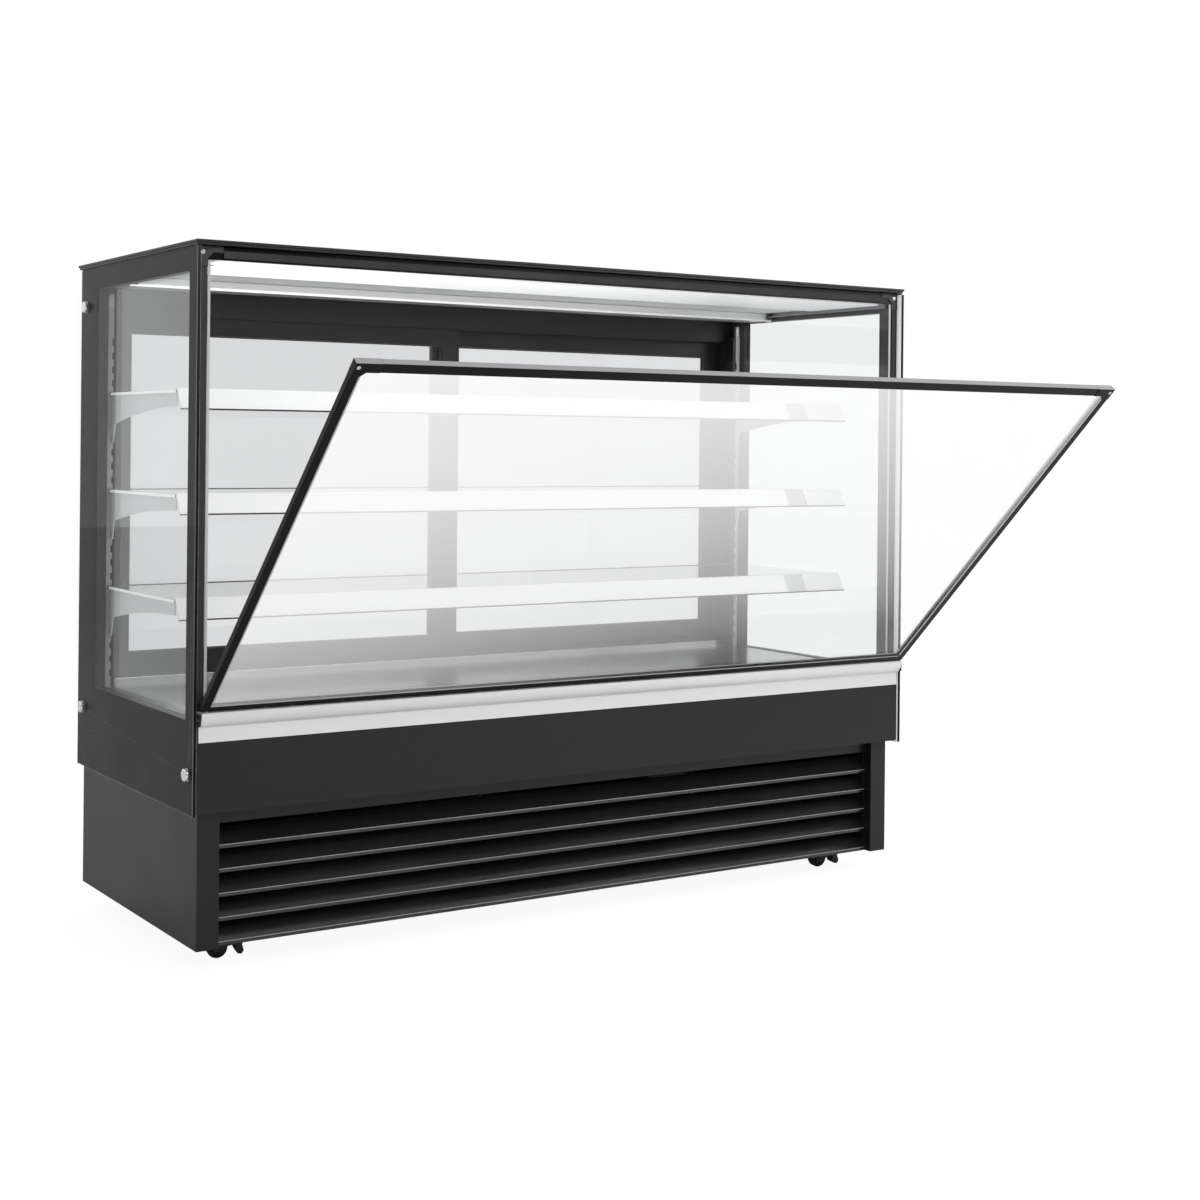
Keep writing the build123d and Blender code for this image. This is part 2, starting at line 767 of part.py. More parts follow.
def caster(name, x, y, yaw):
    """One caster, drawn with its trail along -X and then turned: plate, fork, wheel and pedal."""
    plate_z = base_clear - caster_plate_t
    disc_top = plate_z - 0.3
    disc_bottom = disc_top - fork_t
    plate = block(-caster_plate_l / 2, caster_plate_l / 2, -caster_plate_w / 2,
                  caster_plate_w / 2, plate_z, base_clear)
    plate = fillet(plate.edges().filter_by(Axis.Z), 6)
    plate += rod_z(0, 0, disc_bottom, plate_z, kingpin_r)
    bolts = []
    for bx in (-1, 1):
        for by in (-1, 1):
            bolt_x = bx * (caster_plate_l / 2 - caster_bolt_inset)
            bolt_y = by * (caster_plate_w / 2 - caster_bolt_inset)
            bolts.append(rod_z(bolt_x, bolt_y, plate_z - caster_bolt_l, plate_z, caster_bolt_r))
    fork = rod_z(0, 0, disc_bottom, disc_top, fork_disc_r)
    wheel_x = -caster_trail
    cheek_y = wheel_w / 2 + fork_gap
    for side in (1, -1):
        cheek_outline = make_face(Polyline(
            (wheel_x - 8, wheel_r - 7), (wheel_x + 8, wheel_r - 7),
            (pedal_pin_x - 5, pedal_pin_z - 5), (pedal_pin_x + 4, pedal_pin_z - 4),
            (pedal_pin_x + 4, pedal_pin_z + 4), (fork_disc_r - 4, disc_top),
            (-fork_disc_r + 1, disc_top), close=True))
        cheek = extrude(Plane.XZ.offset(-side * cheek_y) * cheek_outline, -side * fork_t)
        fork += cheek
    fork += rod_y(wheel_x, -cheek_y - fork_t - 2, cheek_y + fork_t + 2, wheel_r, axle_r)
    if name.startswith("front"):
        fork += rod_y(pedal_pin_x, -cheek_y - fork_t, cheek_y + fork_t, pedal_pin_z, pedal_pin_r)
    fork -= rod_z(0, 0, disc_bottom - 1, disc_top + 1, kingpin_r + running_gap)
    tyre = rod_y(wheel_x, -wheel_w / 2, wheel_w / 2, wheel_r, wheel_r)
    tyre = fillet(tyre.edges().group_by(Axis.Y)[0] + tyre.edges().group_by(Axis.Y)[-1], 3)
    tyre -= rod_y(wheel_x, -wheel_w, wheel_w, wheel_r, axle_r + running_gap)
    place = Pos(x, y, 0) * Rot(0, 0, yaw)
    save(f"caster_fork_{name}", place * fork)
    save(f"caster_wheel_{name}", place * tyre)
    if name.startswith("front"):
        save(f"caster_pedal_{name}", place * brake_pedal())
    square = Pos(x, y, 0)
    return [square * plate] + [square * bolt for bolt in bolts]


def brake_pedal():
    """Black foot pedal hung on the fork's pin, drawn on the +X side of the swivel."""
    x = pedal_pin_x
    z = pedal_pin_z
    neck = Pos(x + 4, z - 1) * Rectangle(15, 8) + Pos(x, z) * Circle(5)
    lobe_outline = Polyline(
        (x + 7, z + 4), (x + 7, z - 12), (x + 11, z - 19), (x + pedal_len - 4, z - 20),
        (x + pedal_len, z - 14), (x + pedal_len - 3, z - 4), (x + pedal_len - 1, z + 4), close=True)
    lobe = make_face(lobe_outline)
    body = extrude(Plane.XZ.offset(-pedal_neck_w / 2) * neck, pedal_neck_w)
    pad = extrude(Plane.XZ.offset(-pedal_w / 2) * lobe, pedal_w)
    body += fillet(pad.edges().filter_by(Axis.Y), 1.5)
    return body - rod_y(x, -pedal_w, pedal_w, z, pedal_pin_r + running_gap)


def casters():
    """All four casters; the fixed plates share a node."""
    plates = []
    for name, x, y, yaw in caster_spots():
        plates += caster(name, x, y, yaw)
    save("caster_plates", plates)


def fan(x, y, z, r, hub_r, blades, d):
    """Axial fan with its axis along Y: a hub and flat pitched blades."""
    body = rod_y(x, y, y + d, z, hub_r)
    for k in range(blades):
        angle = 360.0 / blades * k
        blade = Pos((hub_r + r) / 2 - 1, 0, 0) * Rot(32, 0, 0) * Box(r - hub_r + 2, 1.6, 0.62 * r)
        body += Pos(x, y + d / 2, z) * Rot(0, angle, 0) * blade
    body &= rod_y(x, y - d, y + 2 * d, z, r)
    return body - rod_y(x, y - 1, y + d + 1, z, fan_shaft_r + running_gap)


def finned_coil(x, y, z, w, d, h, fins):
    """Heat exchanger: end plates, fins and tubes that run through them."""
    parts = None
    for k in range(fins):
        fx = x - w / 2 + k * (w - 2) / (fins - 1)
        plate = block(fx, fx + 1.2, y, y + d, z, z + h)
        parts = plate if parts is None else parts + plate
    rows = 4
    for k in range(rows):
        tube_z = z + h * (k + 0.5) / rows
        for tube_y in (y + d * 0.3, y + d * 0.7):
            parts += rod_x(x - w / 2 - 6, x + w / 2 + 6, tube_y, tube_z, 4.8)
    return parts


def machinery():
    """Compressor, condenser with its fan in the base, and evaporator with its fan in the well."""
    z0 = base_clear + chassis_t
    cx = compressor_x
    cy = front + compressor_y
    shell = rod_z(cx, cy, z0 + 12, z0 + compressor_h - 30, compressor_r)
    dome = Pos(cx, cy, z0 + compressor_h - 30) * Sphere(compressor_r)
    dome &= rod_z(cx, cy, z0 + compressor_h - 30, z0 + compressor_h, compressor_r)
    shell += dome
    shell += block(cx - 95, cx + 95, cy - 50, cy + 50, z0 + 10, z0 + 14)
    for fx in (-80, 80):
        for fy in (-38, 38):
            shell += rod_z(cx + fx, cy + fy, z0, z0 + 10, 12)
    shell += block(cx - 30, cx + 30, cy - compressor_r - 22, cy - compressor_r + 20, z0 + 50,
                   z0 + 100)
    save("compressor", shell)
    coil_y = front + condenser_y
    coil = finned_coil(condenser_x, coil_y, z0, condenser_w, condenser_d, condenser_h, fin_count)
    save("condenser_coil", coil)
    shroud_y = coil_y + condenser_d
    fan_z = z0 + condenser_h / 2
    shroud = block(condenser_x - condenser_w / 2, condenser_x + condenser_w / 2, shroud_y,
                   shroud_y + fan_shroud_d, z0, z0 + condenser_h)
    shroud -= rod_y(condenser_x, shroud_y - 1, shroud_y + fan_shroud_d + 1, fan_z, fan_r + 4)
    motor_y = shroud_y + fan_shroud_d
    bar = block(condenser_x - fan_r - 12, condenser_x + fan_r + 12, motor_y, motor_y + 6,
                fan_z - 9, fan_z + 9)
    motor = rod_y(condenser_x, motor_y, motor_y + 40, fan_z, 30)
    shaft = rod_y(condenser_x, shroud_y + 8, motor_y + 2, fan_z, fan_shaft_r)
    save("fan_shroud", shroud + bar + motor + shaft)
    save("condenser_fan", fan(condenser_x, shroud_y + 10, fan_z, fan_r, fan_hub_r, fan_blades,
                              fan_shroud_d - 14))
    ez = base_top + tub_floor
    ey = front + evaporator_y
    coil = finned_coil(evaporator_x, ey, ez, evaporator_w, evaporator_d, evaporator_h, fin_count)
    save("evaporator_coil", coil)
    fx = evaporator_fan_x
    plate_y = ey + 30
    carrier = block(fx - 60, fx + 60, plate_y, plate_y + 20, ez, ez + evaporator_h + 10)
    ring_z = ez + (evaporator_h + 10) / 2
    carrier -= rod_y(fx, plate_y - 1, plate_y + 21, ring_z, evaporator_fan_r + 2)
    arm_bar = block(fx - 50, fx + 50, plate_y + 20, plate_y + 24, ring_z - 7, ring_z + 7)
    axle = rod_y(fx, plate_y + 2, plate_y + 22, ring_z, fan_shaft_r)
    motor = rod_y(fx, plate_y + 20, plate_y + 50, ring_z, 18)
    save("evaporator_fan_carrier", carrier + arm_bar + axle + motor)
    save("evaporator_fan", fan(fx, plate_y + 4, ring_z, evaporator_fan_r, 14, fan_blades, 12))


def controls():
    """Control strip on the service side with two rocker switches, a thermostat and the inlet."""
    y0 = frame_back
    y1 = frame_back + panel_t
    strip_half = frame_in
    strip = block(-strip_half, strip_half, y0, y1, base_top, deck_top - deck_t - 2)
    strip -= block(-strip_half + steel, strip_half - steel, y0 - 1, y1 - steel, base_top + steel,
                   deck_top - deck_t - 2 - steel)
    thermostat = block(-thermostat_w / 2, thermostat_w / 2, y1, y1 + 3,
                       switch_z - thermostat_h / 2, switch_z + thermostat_h / 2)
    thermostat -= block(-thermostat_w / 2 + 12, thermostat_w / 2 - 12, y1 + 2, y1 + 4,
                        switch_z - thermostat_h / 2 + 8, switch_z + thermostat_h / 2 - 6)
    strip += thermostat
    inlet = block(inlet_x - 25, inlet_x + 25, y1, y1 + 3, switch_z - 14, switch_z + 14)
    strip += inlet
    strip -= block(inlet_x - 12, inlet_x + 12, y1 - steel - 1, y1 + 4, switch_z - 8, switch_z + 8)
    names = ("light_switch", "power_switch")
    for k, name in enumerate(names):
        x = switch_x + k * switch_pitch
        bezel = block(x - switch_w / 2 - 3, x + switch_w / 2 + 3, y1, y1 + 2,
                      switch_z - switch_h / 2 - 3, switch_z + switch_h / 2 + 3)
        strip += bezel
        gap = clear
        strip -= block(x - switch_w / 2 - gap, x + switch_w / 2 + gap, y0 + 0.5, y1 + 3,
                       switch_z - switch_h / 2 - gap, switch_z + switch_h / 2 + gap)
        strip += block(x - switch_w / 2 - 2, x - switch_w / 2 - gap, y0, y1, switch_z - 3,
                       switch_z + 3)
        strip += block(x + switch_w / 2 + gap, x + switch_w / 2 + 2, y0, y1, switch_z - 3,
                       switch_z + 3)
        rocker = run_x([
            (y1 - 3, switch_z - 4), (y1 + 1.0, switch_z - switch_h / 2 + 0.6),
            (y1 + 3.2, switch_z - switch_h / 2 + 0.6), (y1 + 1.6, switch_z),
            (y1 + 0.6, switch_z + switch_h / 2 - 0.8), (y1 - 3, switch_z + 4),
        ], x - switch_w / 2, x + switch_w / 2)
        save(name, rocker)
    save("control_panel", strip)


base_cabinet()
rear_panel()
well()
bumper()
top(side_walls())
shelves()
service_side()
front_door()
hinge_and_seal()
casters()
machinery()
controls()
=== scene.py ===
import json
import math

import bmesh
import bpy
from mathutils import Matrix, Vector


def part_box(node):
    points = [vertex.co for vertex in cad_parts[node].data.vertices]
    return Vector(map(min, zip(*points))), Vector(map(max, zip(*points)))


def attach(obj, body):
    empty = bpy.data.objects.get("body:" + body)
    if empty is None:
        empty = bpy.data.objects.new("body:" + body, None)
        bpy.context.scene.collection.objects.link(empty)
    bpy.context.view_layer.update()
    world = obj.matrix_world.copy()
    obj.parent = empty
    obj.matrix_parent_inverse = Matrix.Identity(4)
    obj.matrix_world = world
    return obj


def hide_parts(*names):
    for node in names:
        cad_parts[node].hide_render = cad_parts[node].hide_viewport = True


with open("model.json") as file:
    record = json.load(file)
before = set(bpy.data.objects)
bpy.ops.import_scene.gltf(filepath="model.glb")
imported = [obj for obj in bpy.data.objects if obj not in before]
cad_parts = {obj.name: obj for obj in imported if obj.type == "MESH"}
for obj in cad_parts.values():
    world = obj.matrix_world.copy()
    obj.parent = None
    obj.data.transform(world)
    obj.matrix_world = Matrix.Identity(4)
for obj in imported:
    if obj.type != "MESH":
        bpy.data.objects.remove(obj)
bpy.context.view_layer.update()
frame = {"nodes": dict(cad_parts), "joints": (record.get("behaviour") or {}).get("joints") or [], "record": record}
nodes = frame["nodes"]
scene = bpy.context.scene
record = frame["record"]
joints = {joint["name"]: joint for joint in frame["joints"]}
mm = 0.001


# Materials

cloud_scale = 7.0
cloud_detail = 4.0
coat_rough = 0.08
faded_share = 0.6
dent_depth = 0.6 * mm
glass_dent = 0.2 * mm
face_on_mirror = 0.04


def new_material(name):
    """An empty node material with its output."""
    m = bpy.data.materials.new(name)
    m.use_nodes = True
    tree = m.node_tree
    tree.nodes.clear()
    out = tree.nodes.new("ShaderNodeOutputMaterial")
    return m, tree, out


def noise(tree, scale, detail=3.0, stretch=None):
    """Noise in object space, stretched along an axis where asked."""
    coord = tree.nodes.new("ShaderNodeTexCoord")
    tex = tree.nodes.new("ShaderNodeTexNoise")
    tex.inputs["Scale"].default_value = scale
    tex.inputs["Detail"].default_value = detail
    source = coord.outputs["Object"]
    if stretch:
        mapping = tree.nodes.new("ShaderNodeMapping")
        mapping.inputs["Scale"].default_value = stretch
        tree.links.new(source, mapping.inputs["Vector"])
        source = mapping.outputs["Vector"]
    tree.links.new(source, tex.inputs["Vector"])
    return tex


def only_node(tree, kind):
    """The node of one kind in a tree that has a single one."""
    return next(node for node in tree.nodes if node.type == kind)


def spread(tree, source, low, high, start=0.3, end=0.7):
    """A value mapped from one range to another."""
    ramp = tree.nodes.new("ShaderNodeMapRange")
    ramp.inputs["From Min"].default_value = start
    ramp.inputs["From Max"].default_value = end
    ramp.inputs["To Min"].default_value = low
    ramp.inputs["To Max"].default_value = high
    tree.links.new(source, ramp.inputs["Value"])
    return ramp.outputs["Result"]


def surface(name, color, rough, metallic=0.0, wear=0.12, grain=60.0, bump=0.05, stretch=None,
            coat=0.0, specular=0.5, glow=None):
    """Principled finish with uneven roughness, a little colour wear and a fine bump."""
    m, tree, out = new_material(name)
    bsdf = tree.nodes.new("ShaderNodeBsdfPrincipled")
    bsdf.inputs["Metallic"].default_value = metallic
    bsdf.inputs["Specular IOR Level"].default_value = specular
    bsdf.inputs["Coat Weight"].default_value = coat
    bsdf.inputs["Coat Roughness"].default_value = coat_rough
    cloud = noise(tree, cloud_scale, cloud_detail)
    fine = noise(tree, grain, cloud_detail, stretch)
    tree.links.new(spread(tree, cloud.outputs["Fac"], rough * (1 - wear), rough * (1 + wear)),
                   bsdf.inputs["Roughness"])
    mix = tree.nodes.new("ShaderNodeMix")
    mix.data_type = "RGBA"
    mix.inputs["A"].default_value = (*color, 1)
    mix.inputs["B"].default_value = (*[c * (1 - wear * faded_share) for c in color], 1)
    tree.links.new(spread(tree, fine.outputs["Fac"], 0.0, 1.0), mix.inputs["Factor"])
    tree.links.new(mix.outputs["Result"], bsdf.inputs["Base Color"])
    dent = tree.nodes.new("ShaderNodeBump")
    dent.inputs["Strength"].default_value = bump
    dent.inputs["Distance"].default_value = dent_depth
    tree.links.new(fine.outputs["Fac"], dent.inputs["Height"])
    tree.links.new(dent.outputs["Normal"], bsdf.inputs["Normal"])
    if glow:
        bsdf.inputs["Emission Color"].default_value = (*glow[0], 1)
        bsdf.inputs["Emission Strength"].default_value = glow[1]
    tree.links.new(bsdf.outputs["BSDF"], out.inputs["Surface"])
    return m


def maths(tree, operation, a, b):
    """One arithmetic step on a linked value."""
    node = tree.nodes.new("ShaderNodeMath")
    node.operation = operation
    tree.links.new(a, node.inputs[0])
    node.inputs[1].default_value = b
    return node.outputs["Value"]


def pane(name, tint, mirror=1.0):
    """Clear glass: see-through, with a reflection that grows towards grazing view."""
    m, tree, out = new_material(name)
    clear = tree.nodes.new("ShaderNodeBsdfTransparent")
    clear.inputs["Color"].default_value = (*tint, 1)
    shine = tree.nodes.new("ShaderNodeBsdfGlossy")
    shine.inputs["Color"].default_value = (1, 1, 1, 1)
    cloud = noise(tree, 9.0, 3.0)
    tree.links.new(spread(tree, cloud.outputs["Fac"], 0.012, 0.03), shine.inputs["Roughness"])
    dent = tree.nodes.new("ShaderNodeBump")
    dent.inputs["Strength"].default_value = 0.01
    dent.inputs["Distance"].default_value = glass_dent
    tree.links.new(cloud.outputs["Fac"], dent.inputs["Height"])
    tree.links.new(dent.outputs["Normal"], shine.inputs["Normal"])
    facing = tree.nodes.new("ShaderNodeLayerWeight")
    facing.inputs["Blend"].default_value = 0.5
    steep = maths(tree, "POWER", facing.outputs["Facing"], 5.0)
    share = maths(tree, "MULTIPLY", steep, (1 - face_on_mirror) * mirror)
    share = maths(tree, "ADD", share, face_on_mirror * mirror)
    mix = tree.nodes.new("ShaderNodeMixShader")
    tree.links.new(share, mix.inputs["Fac"])
    tree.links.new(clear.outputs["BSDF"], mix.inputs[1])
    tree.links.new(shine.outputs["BSDF"], mix.inputs[2])
    tree.links.new(mix.outputs["Shader"], out.inputs["Surface"])
    return m, tree, out, mix


def object_mask(tree, output, direction, start, end):
    """A mask from 0 to 1 as an object-space place or normal goes along a direction."""
    coord = tree.nodes.new("ShaderNodeTexCoord")
    along = tree.nodes.new("ShaderNodeVectorMath")
    along.operation = "DOT_PRODUCT"
    along.inputs[1].default_value = direction
    tree.links.new(coord.outputs[output], along.inputs[0])
    return spread(tree, along.outputs["Value"], 0.0, 1.0, start, end)


def both_ways(tree, output, direction, start, end):
    """The larger of the masks along a direction and against it."""
    either = tree.nodes.new("ShaderNodeMath")
    either.operation = "MAXIMUM"
    for k, sign in enumerate((1, -1)):
        one_way = [sign * share for share in direction]
        tree.links.new(object_mask(tree, output, one_way, start, end), either.inputs[k])
    return either.outputs["Value"]


def two_tone(name, first, second, mask_of, specular=0.35):
    """A finish whose colour changes from one tone to another where a mask rises."""
    m = surface(name, first, 0.32, grain=300.0, bump=0.02, specular=specular)
    tree = m.node_tree
    bsdf = only_node(tree, "BSDF_PRINCIPLED")
    base = bsdf.inputs["Base Color"].links[0].from_socket
    mix = tree.nodes.new("ShaderNodeMix")
    mix.data_type = "RGBA"
    mix.inputs["B"].default_value = (*second, 1)
    tree.links.new(mask_of(tree), mix.inputs["Factor"])
    tree.links.new(base, mix.inputs["A"])
    tree.links.new(mix.outputs["Result"], bsdf.inputs["Base Color"])
    return m


def edged_pane(name, tint, edge_tint):
    """Clear glass whose upright edges are deeper in tone than its flat faces."""
    m, tree, out, mix = pane(name, tint, 1.3)
    clear = only_node(tree, "BSDF_TRANSPARENT")
    flat = both_ways(tree, "Normal", (0, 0, 1), 0.4, 0.7)
    tone = tree.nodes.new("ShaderNodeMix")
    tone.data_type = "RGBA"
    tone.inputs["A"].default_value = (*edge_tint, 1)
    tone.inputs["B"].default_value = (*tint, 1)
    tree.links.new(flat, tone.inputs["Factor"])
    tree.links.new(tone.outputs["Result"], clear.inputs["Color"])
    return m


def lit_panel(name, brightest, dimmest, half_length):
    """A white panel that glows, brightest at its left end."""
    m = surface(name, (0.92, 0.93, 0.94), 0.4, grain=300.0, glow=((1.0, 1.0, 1.0), brightest))
    tree = m.node_tree
    bsdf = only_node(tree, "BSDF_PRINCIPLED")
    along = object_mask(tree, "Object", (1, 0, 0), -half_length, half_length)
    tree.links.new(spread(tree, along, brightest, dimmest, 0.0, 1.0),
                   bsdf.inputs["Emission Strength"])
    return m


def glow_veiled_pane(name, tint, thinnest, thickest, low, high):
    """Clear glass under a white glow that thickens towards its upper left corner: a painted veil of reflected
    light, not a lamp.
    """
    m, tree, out, mix = pane(name, tint)
    lean = 0.6
    width = high.x - low.x
    height = high.z - low.z
    start = low.z / height - lean / 2
    rise = object_mask(tree, "Object", (-lean / width, 0, 1 / height), start, start + 1 + lean)
    painted_glow = tree.nodes.new("ShaderNodeEmission")
    painted_glow.inputs["Color"].default_value = (1, 1, 1, 1)
    painted_glow.inputs["Strength"].default_value = 1.0
    glow_veil = tree.nodes.new("ShaderNodeMixShader")
    tree.links.new(spread(tree, rise, thinnest, thickest, 0.0, 1.0), glow_veil.inputs["Fac"])
    tree.links.new(mix.outputs["Shader"], glow_veil.inputs[1])
    tree.links.new(painted_glow.outputs["Emission"], glow_veil.inputs[2])
    tree.links.new(glow_veil.outputs["Shader"], out.inputs["Surface"])
    return m


brush_x = (0.6, 40.0, 40.0)
lamp_half = 760 * mm
finishes = {
    "black_steel": surface("black steel", (0.0095, 0.0095, 0.01), 0.34, wear=0.1, grain=420.0,
                           bump=0.03, specular=0.34),
    "black_slats": surface("black slats", (0.009, 0.009, 0.0095), 0.24, wear=0.12, grain=90.0,
                           bump=0.01, specular=0.85),
    "foam_black": surface("inner black", (0.006, 0.006, 0.006), 0.7, grain=300.0, bump=0.2),
    "black_print": surface("black print", (0.012, 0.012, 0.0125), 0.5, wear=0.08, grain=90.0,
                           bump=0.005, specular=0.05),
    "brushed_trim": surface("brushed trim", (0.8, 0.8, 0.805), 0.32, 0.62, 0.08, 30.0, 0.05,
                            brush_x),
    "chrome": surface("chrome", (0.82, 0.82, 0.83), 0.12, 1.0, 0.1, 120.0, 0.02),
    "black_plastic": surface("black plastic", (0.012, 0.012, 0.0125), 0.45, grain=500.0, bump=0.1),
    "door_black": surface("door black", (0.008, 0.008, 0.0085), 0.3, wear=0.1, grain=300.0),
    "frame_plastic": surface("charcoal frame", (0.02, 0.02, 0.021), 0.45, grain=400.0),
    "pale_lip": surface("pale lip", (0.5, 0.51, 0.52), 0.35, 0.3, grain=200.0),
    "zinc": surface("zinc", (0.5, 0.51, 0.53), 0.36, 0.85, 0.16, 160.0, 0.06),
    "rubber": surface("rubber", (0.008, 0.008, 0.008), 0.62, wear=0.15, grain=260.0, bump=0.2),
    "deck_steel": surface("deck steel", (0.5, 0.5, 0.51), 0.22, 0.9, 0.1, 26.0, 0.04, brush_x),
    "white_coat": surface("white coat", (0.84, 0.845, 0.85), 0.35, grain=400.0),
    "white_plastic": surface("white plastic", (0.9, 0.905, 0.91), 0.4, grain=400.0, bump=0.02),
    "lamp_white": lit_panel("lamp", 0.8, 0.1, lamp_half),
    "machine_black": surface("machine enamel", (0.02, 0.02, 0.022), 0.3, grain=200.0, coat=0.3),
    "coil_alloy": surface("coil alloy", (0.6, 0.61, 0.62), 0.4, 0.9, 0.2, 200.0, 0.1),
    "fan_white": surface("fan grey", (0.25, 0.26, 0.27), 0.45, grain=300.0),
    "clear_glass": pane("clear glass", (0.985, 0.99, 0.99))[0],
}
grey_bead = surface("grey bead", (0.09, 0.09, 0.092), 0.5, grain=300.0)
lagging = surface("pipe lagging", (0.014, 0.014, 0.015), 0.75, wear=0.2, grain=240.0, bump=0.4)
# Grey stand-in for the light that polished glass edges catch: a painted highlight.
edge_glint_grey = surface("polished glass edge", (0.5, 0.51, 0.51), 0.3, grain=120.0)
# Pale with a glow though it is no lamp: painted light.
pale_seal_glow = surface("pale seal", (0.9, 0.91, 0.91), 0.4, grain=120.0, glow=((1, 1, 1), 0.3))
# Grey line standing in for the glint on a glass edge: a painted highlight.
arris_highlight = surface("fine arris", (0.12, 0.12, 0.122), 0.4, grain=120.0)
# Lighter grey strip along each slat bend: a painted highlight.
slat_bend_highlight = surface("slat bend highlight", (0.36, 0.36, 0.365), 0.36, 0.2, grain=160.0, bump=0.02)
dark_metal = surface("blackened steel", (0.014, 0.014, 0.015), 0.38, 0.2, grain=200.0)
dark_edge = surface("dark edge", (0.004, 0.004, 0.0042), 0.4, grain=300.0, bump=0.02, specular=0.1)
lit_digit = surface("lit digit", (0.5, 0.05, 0.03), 0.4, grain=200.0, glow=((1.0, 0.1, 0.05), 1.2))

door_low, door_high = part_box("door_glass")
door_open = math.radians(43.5)
header_half = 750 * mm
pale_strip_w = 11 * mm
door_up = (0, -math.sin(door_open), math.cos(door_open))
# Near-black door frame whose faces that look up along the door are painted lighter grey: a painted sheen from the
# light above.
door_frame_lit_top = two_tone("door frame", (0.004, 0.004, 0.0042), (0.34, 0.34, 0.35),
                      lambda tree: object_mask(tree, "Normal", door_up, 0.75, 0.97), 0.12)
# Near-black spacer frame whose faces that look along X are painted lighter: a painted sheen.
spacer_frame_lit_sides = two_tone("spacer frame", (0.008, 0.008, 0.0085), (0.1, 0.1, 0.102),
                        lambda tree: both_ways(tree, "Normal", (1, 0, 0), 0.75, 0.97), 0.2)
upright_low, upright_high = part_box("shelf_uprights")
pale_from = upright_high.x - pale_strip_w


def upright_mask(tree):
    """1 over the pale outer strip of each slotted upright."""
    blend = 0.1 * mm
    return both_ways(tree, "Object", (1, 0, 0), pale_from - blend, pale_from + blend)


def header_light_ramp(tree):
    """A slow rise from the left end of the header bar to its right end, along which the black bar is painted
    lighter: a painted light gradient.
    """
    return object_mask(tree, "Object", (1, 0, 0), -header_half, header_half)


own_finish = {
    "door_rails": door_frame_lit_top,
    "door_corner_caps": door_frame_lit_top,
    "shelf_uprights": two_tone("slotted upright", (0.014, 0.014, 0.015), (0.42, 0.43, 0.44),
                               upright_mask),
    "shelf_panes": edged_pane("shelf glass", (0.94, 0.945, 0.945), (0.42, 0.45, 0.46)),
    # Black header bar painted lighter towards its right end: a painted light gradient.
    "header_bar": two_tone("header bar", (0.002, 0.002, 0.0021), (0.034, 0.034, 0.035),
                           header_light_ramp, 0.1),
    "condenser_coil": finishes["machine_black"],
    "side_frames": spacer_frame_lit_sides,
    "side_sheets": pane("outer glass", (0.985, 0.99, 0.99), 0.35)[0],
    # The door glass carries a painted white glow that stands in for reflected light.
    "door_glass": glow_veiled_pane("door glass", (0.995, 0.998, 0.998), -0.08, 0.62, door_low,
                              door_high),
    # The left rear pane is tinted a little deeper than the right: painted shade on one of two like panes.
    "rear_door_left_glass": pane("rear glass left", (0.85, 0.855, 0.86))[0],
    "rear_door_right_glass": pane("rear glass right", (0.88, 0.885, 0.89))[0],
}
slots = {part["node"]: part["material_slot"] for part in record["subparts"]}
caster_spots = ("front_left", "front_right", "rear_left", "rear_right")
for spot in caster_spots:
    own_finish["caster_fork_" + spot] = dark_metal
for name, obj in nodes.items():
    obj.data.materials.clear()
    obj.data.materials.append(own_finish.get(name, finishes[slots[name]]))
    for polygon in obj.data.polygons:
        polygon.material_index = 0


# Rounded edges of the solid parts

sharp_angle = 35


def soften(name, width):
    """Small rounded edges on a solid part."""
    obj = nodes[name]
    weld = obj.modifiers.new("weld", "WELD")
    weld.merge_threshold = 0.02 * mm
    bevel = obj.modifiers.new("bevel", "BEVEL")
    bevel.width = width
    bevel.segments = 2
    bevel.limit_method = "ANGLE"
    bevel.angle_limit = math.radians(sharp_angle)


edge_widths = {
    "base_side_panels": 0.9, "top_plate": 0.8, "bumper_trim": 0.5, "door_rails": 0.9,
    "door_corner_caps": 0.9, "shelf_strips": 0.4, "strip_inserts": 0.25, "header_bar": 0.8,
    "header_corners": 0.5, "grille_frame": 0.6, "front_fascia": 0.5,
    "rear_frame": 1.2, "rear_door_left_frame": 1.4, "rear_door_right_frame": 1.4,
    "control_panel": 0.6, "deck_floor": 0.5, "side_sheets": 0.6, "side_frames": 0.6,
    "ceiling_panel": 0.8, "led_canopy": 2.5, "shelf_brackets": 0.4, "base_chassis": 0.6,
    "fan_shroud": 1.0, "well_tub": 1.0, "door_lips": 0.4, "hinge_plates": 0.5,
    "shelf_panes": 0.7, "door_hinge_arms": 0.4, "rear_service_panel": 0.4,
    "caster_pedal_front_left": 0.6, "caster_pedal_front_right": 0.6,
    "light_switch": 0.4, "power_switch": 0.4,
}
for spot in caster_spots:
    edge_widths["caster_fork_" + spot] = 0.3
for name, width in edge_widths.items():
    soften(name, width * mm)


# Mesh tools

def in_mm(points):
    """Points written in millimetres, in metres."""
    return [tuple(value * mm for value in point) for point in points]


def ordered(side, a, b):
    """Two distances from the middle as an ascending pair on one side of the case."""
    return sorted((side * a, side * b))


def piece(name, bm, material, body, sharp=sharp_angle):
    """Turn a bmesh into a piece of a body, smooth except at its sharp corners."""
    bmesh.ops.recalc_face_normals(bm, faces=bm.faces)
    mesh = bpy.data.meshes.new(name)
    bm.to_mesh(mesh)
    bm.free()
    mesh.materials.append(material)
    mesh.shade_smooth()
    mesh.set_sharp_from_angle(angle=math.radians(sharp))
    obj = bpy.data.objects.new(name, mesh)
    scene.collection.objects.link(obj)
    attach(obj, body)
    return obj


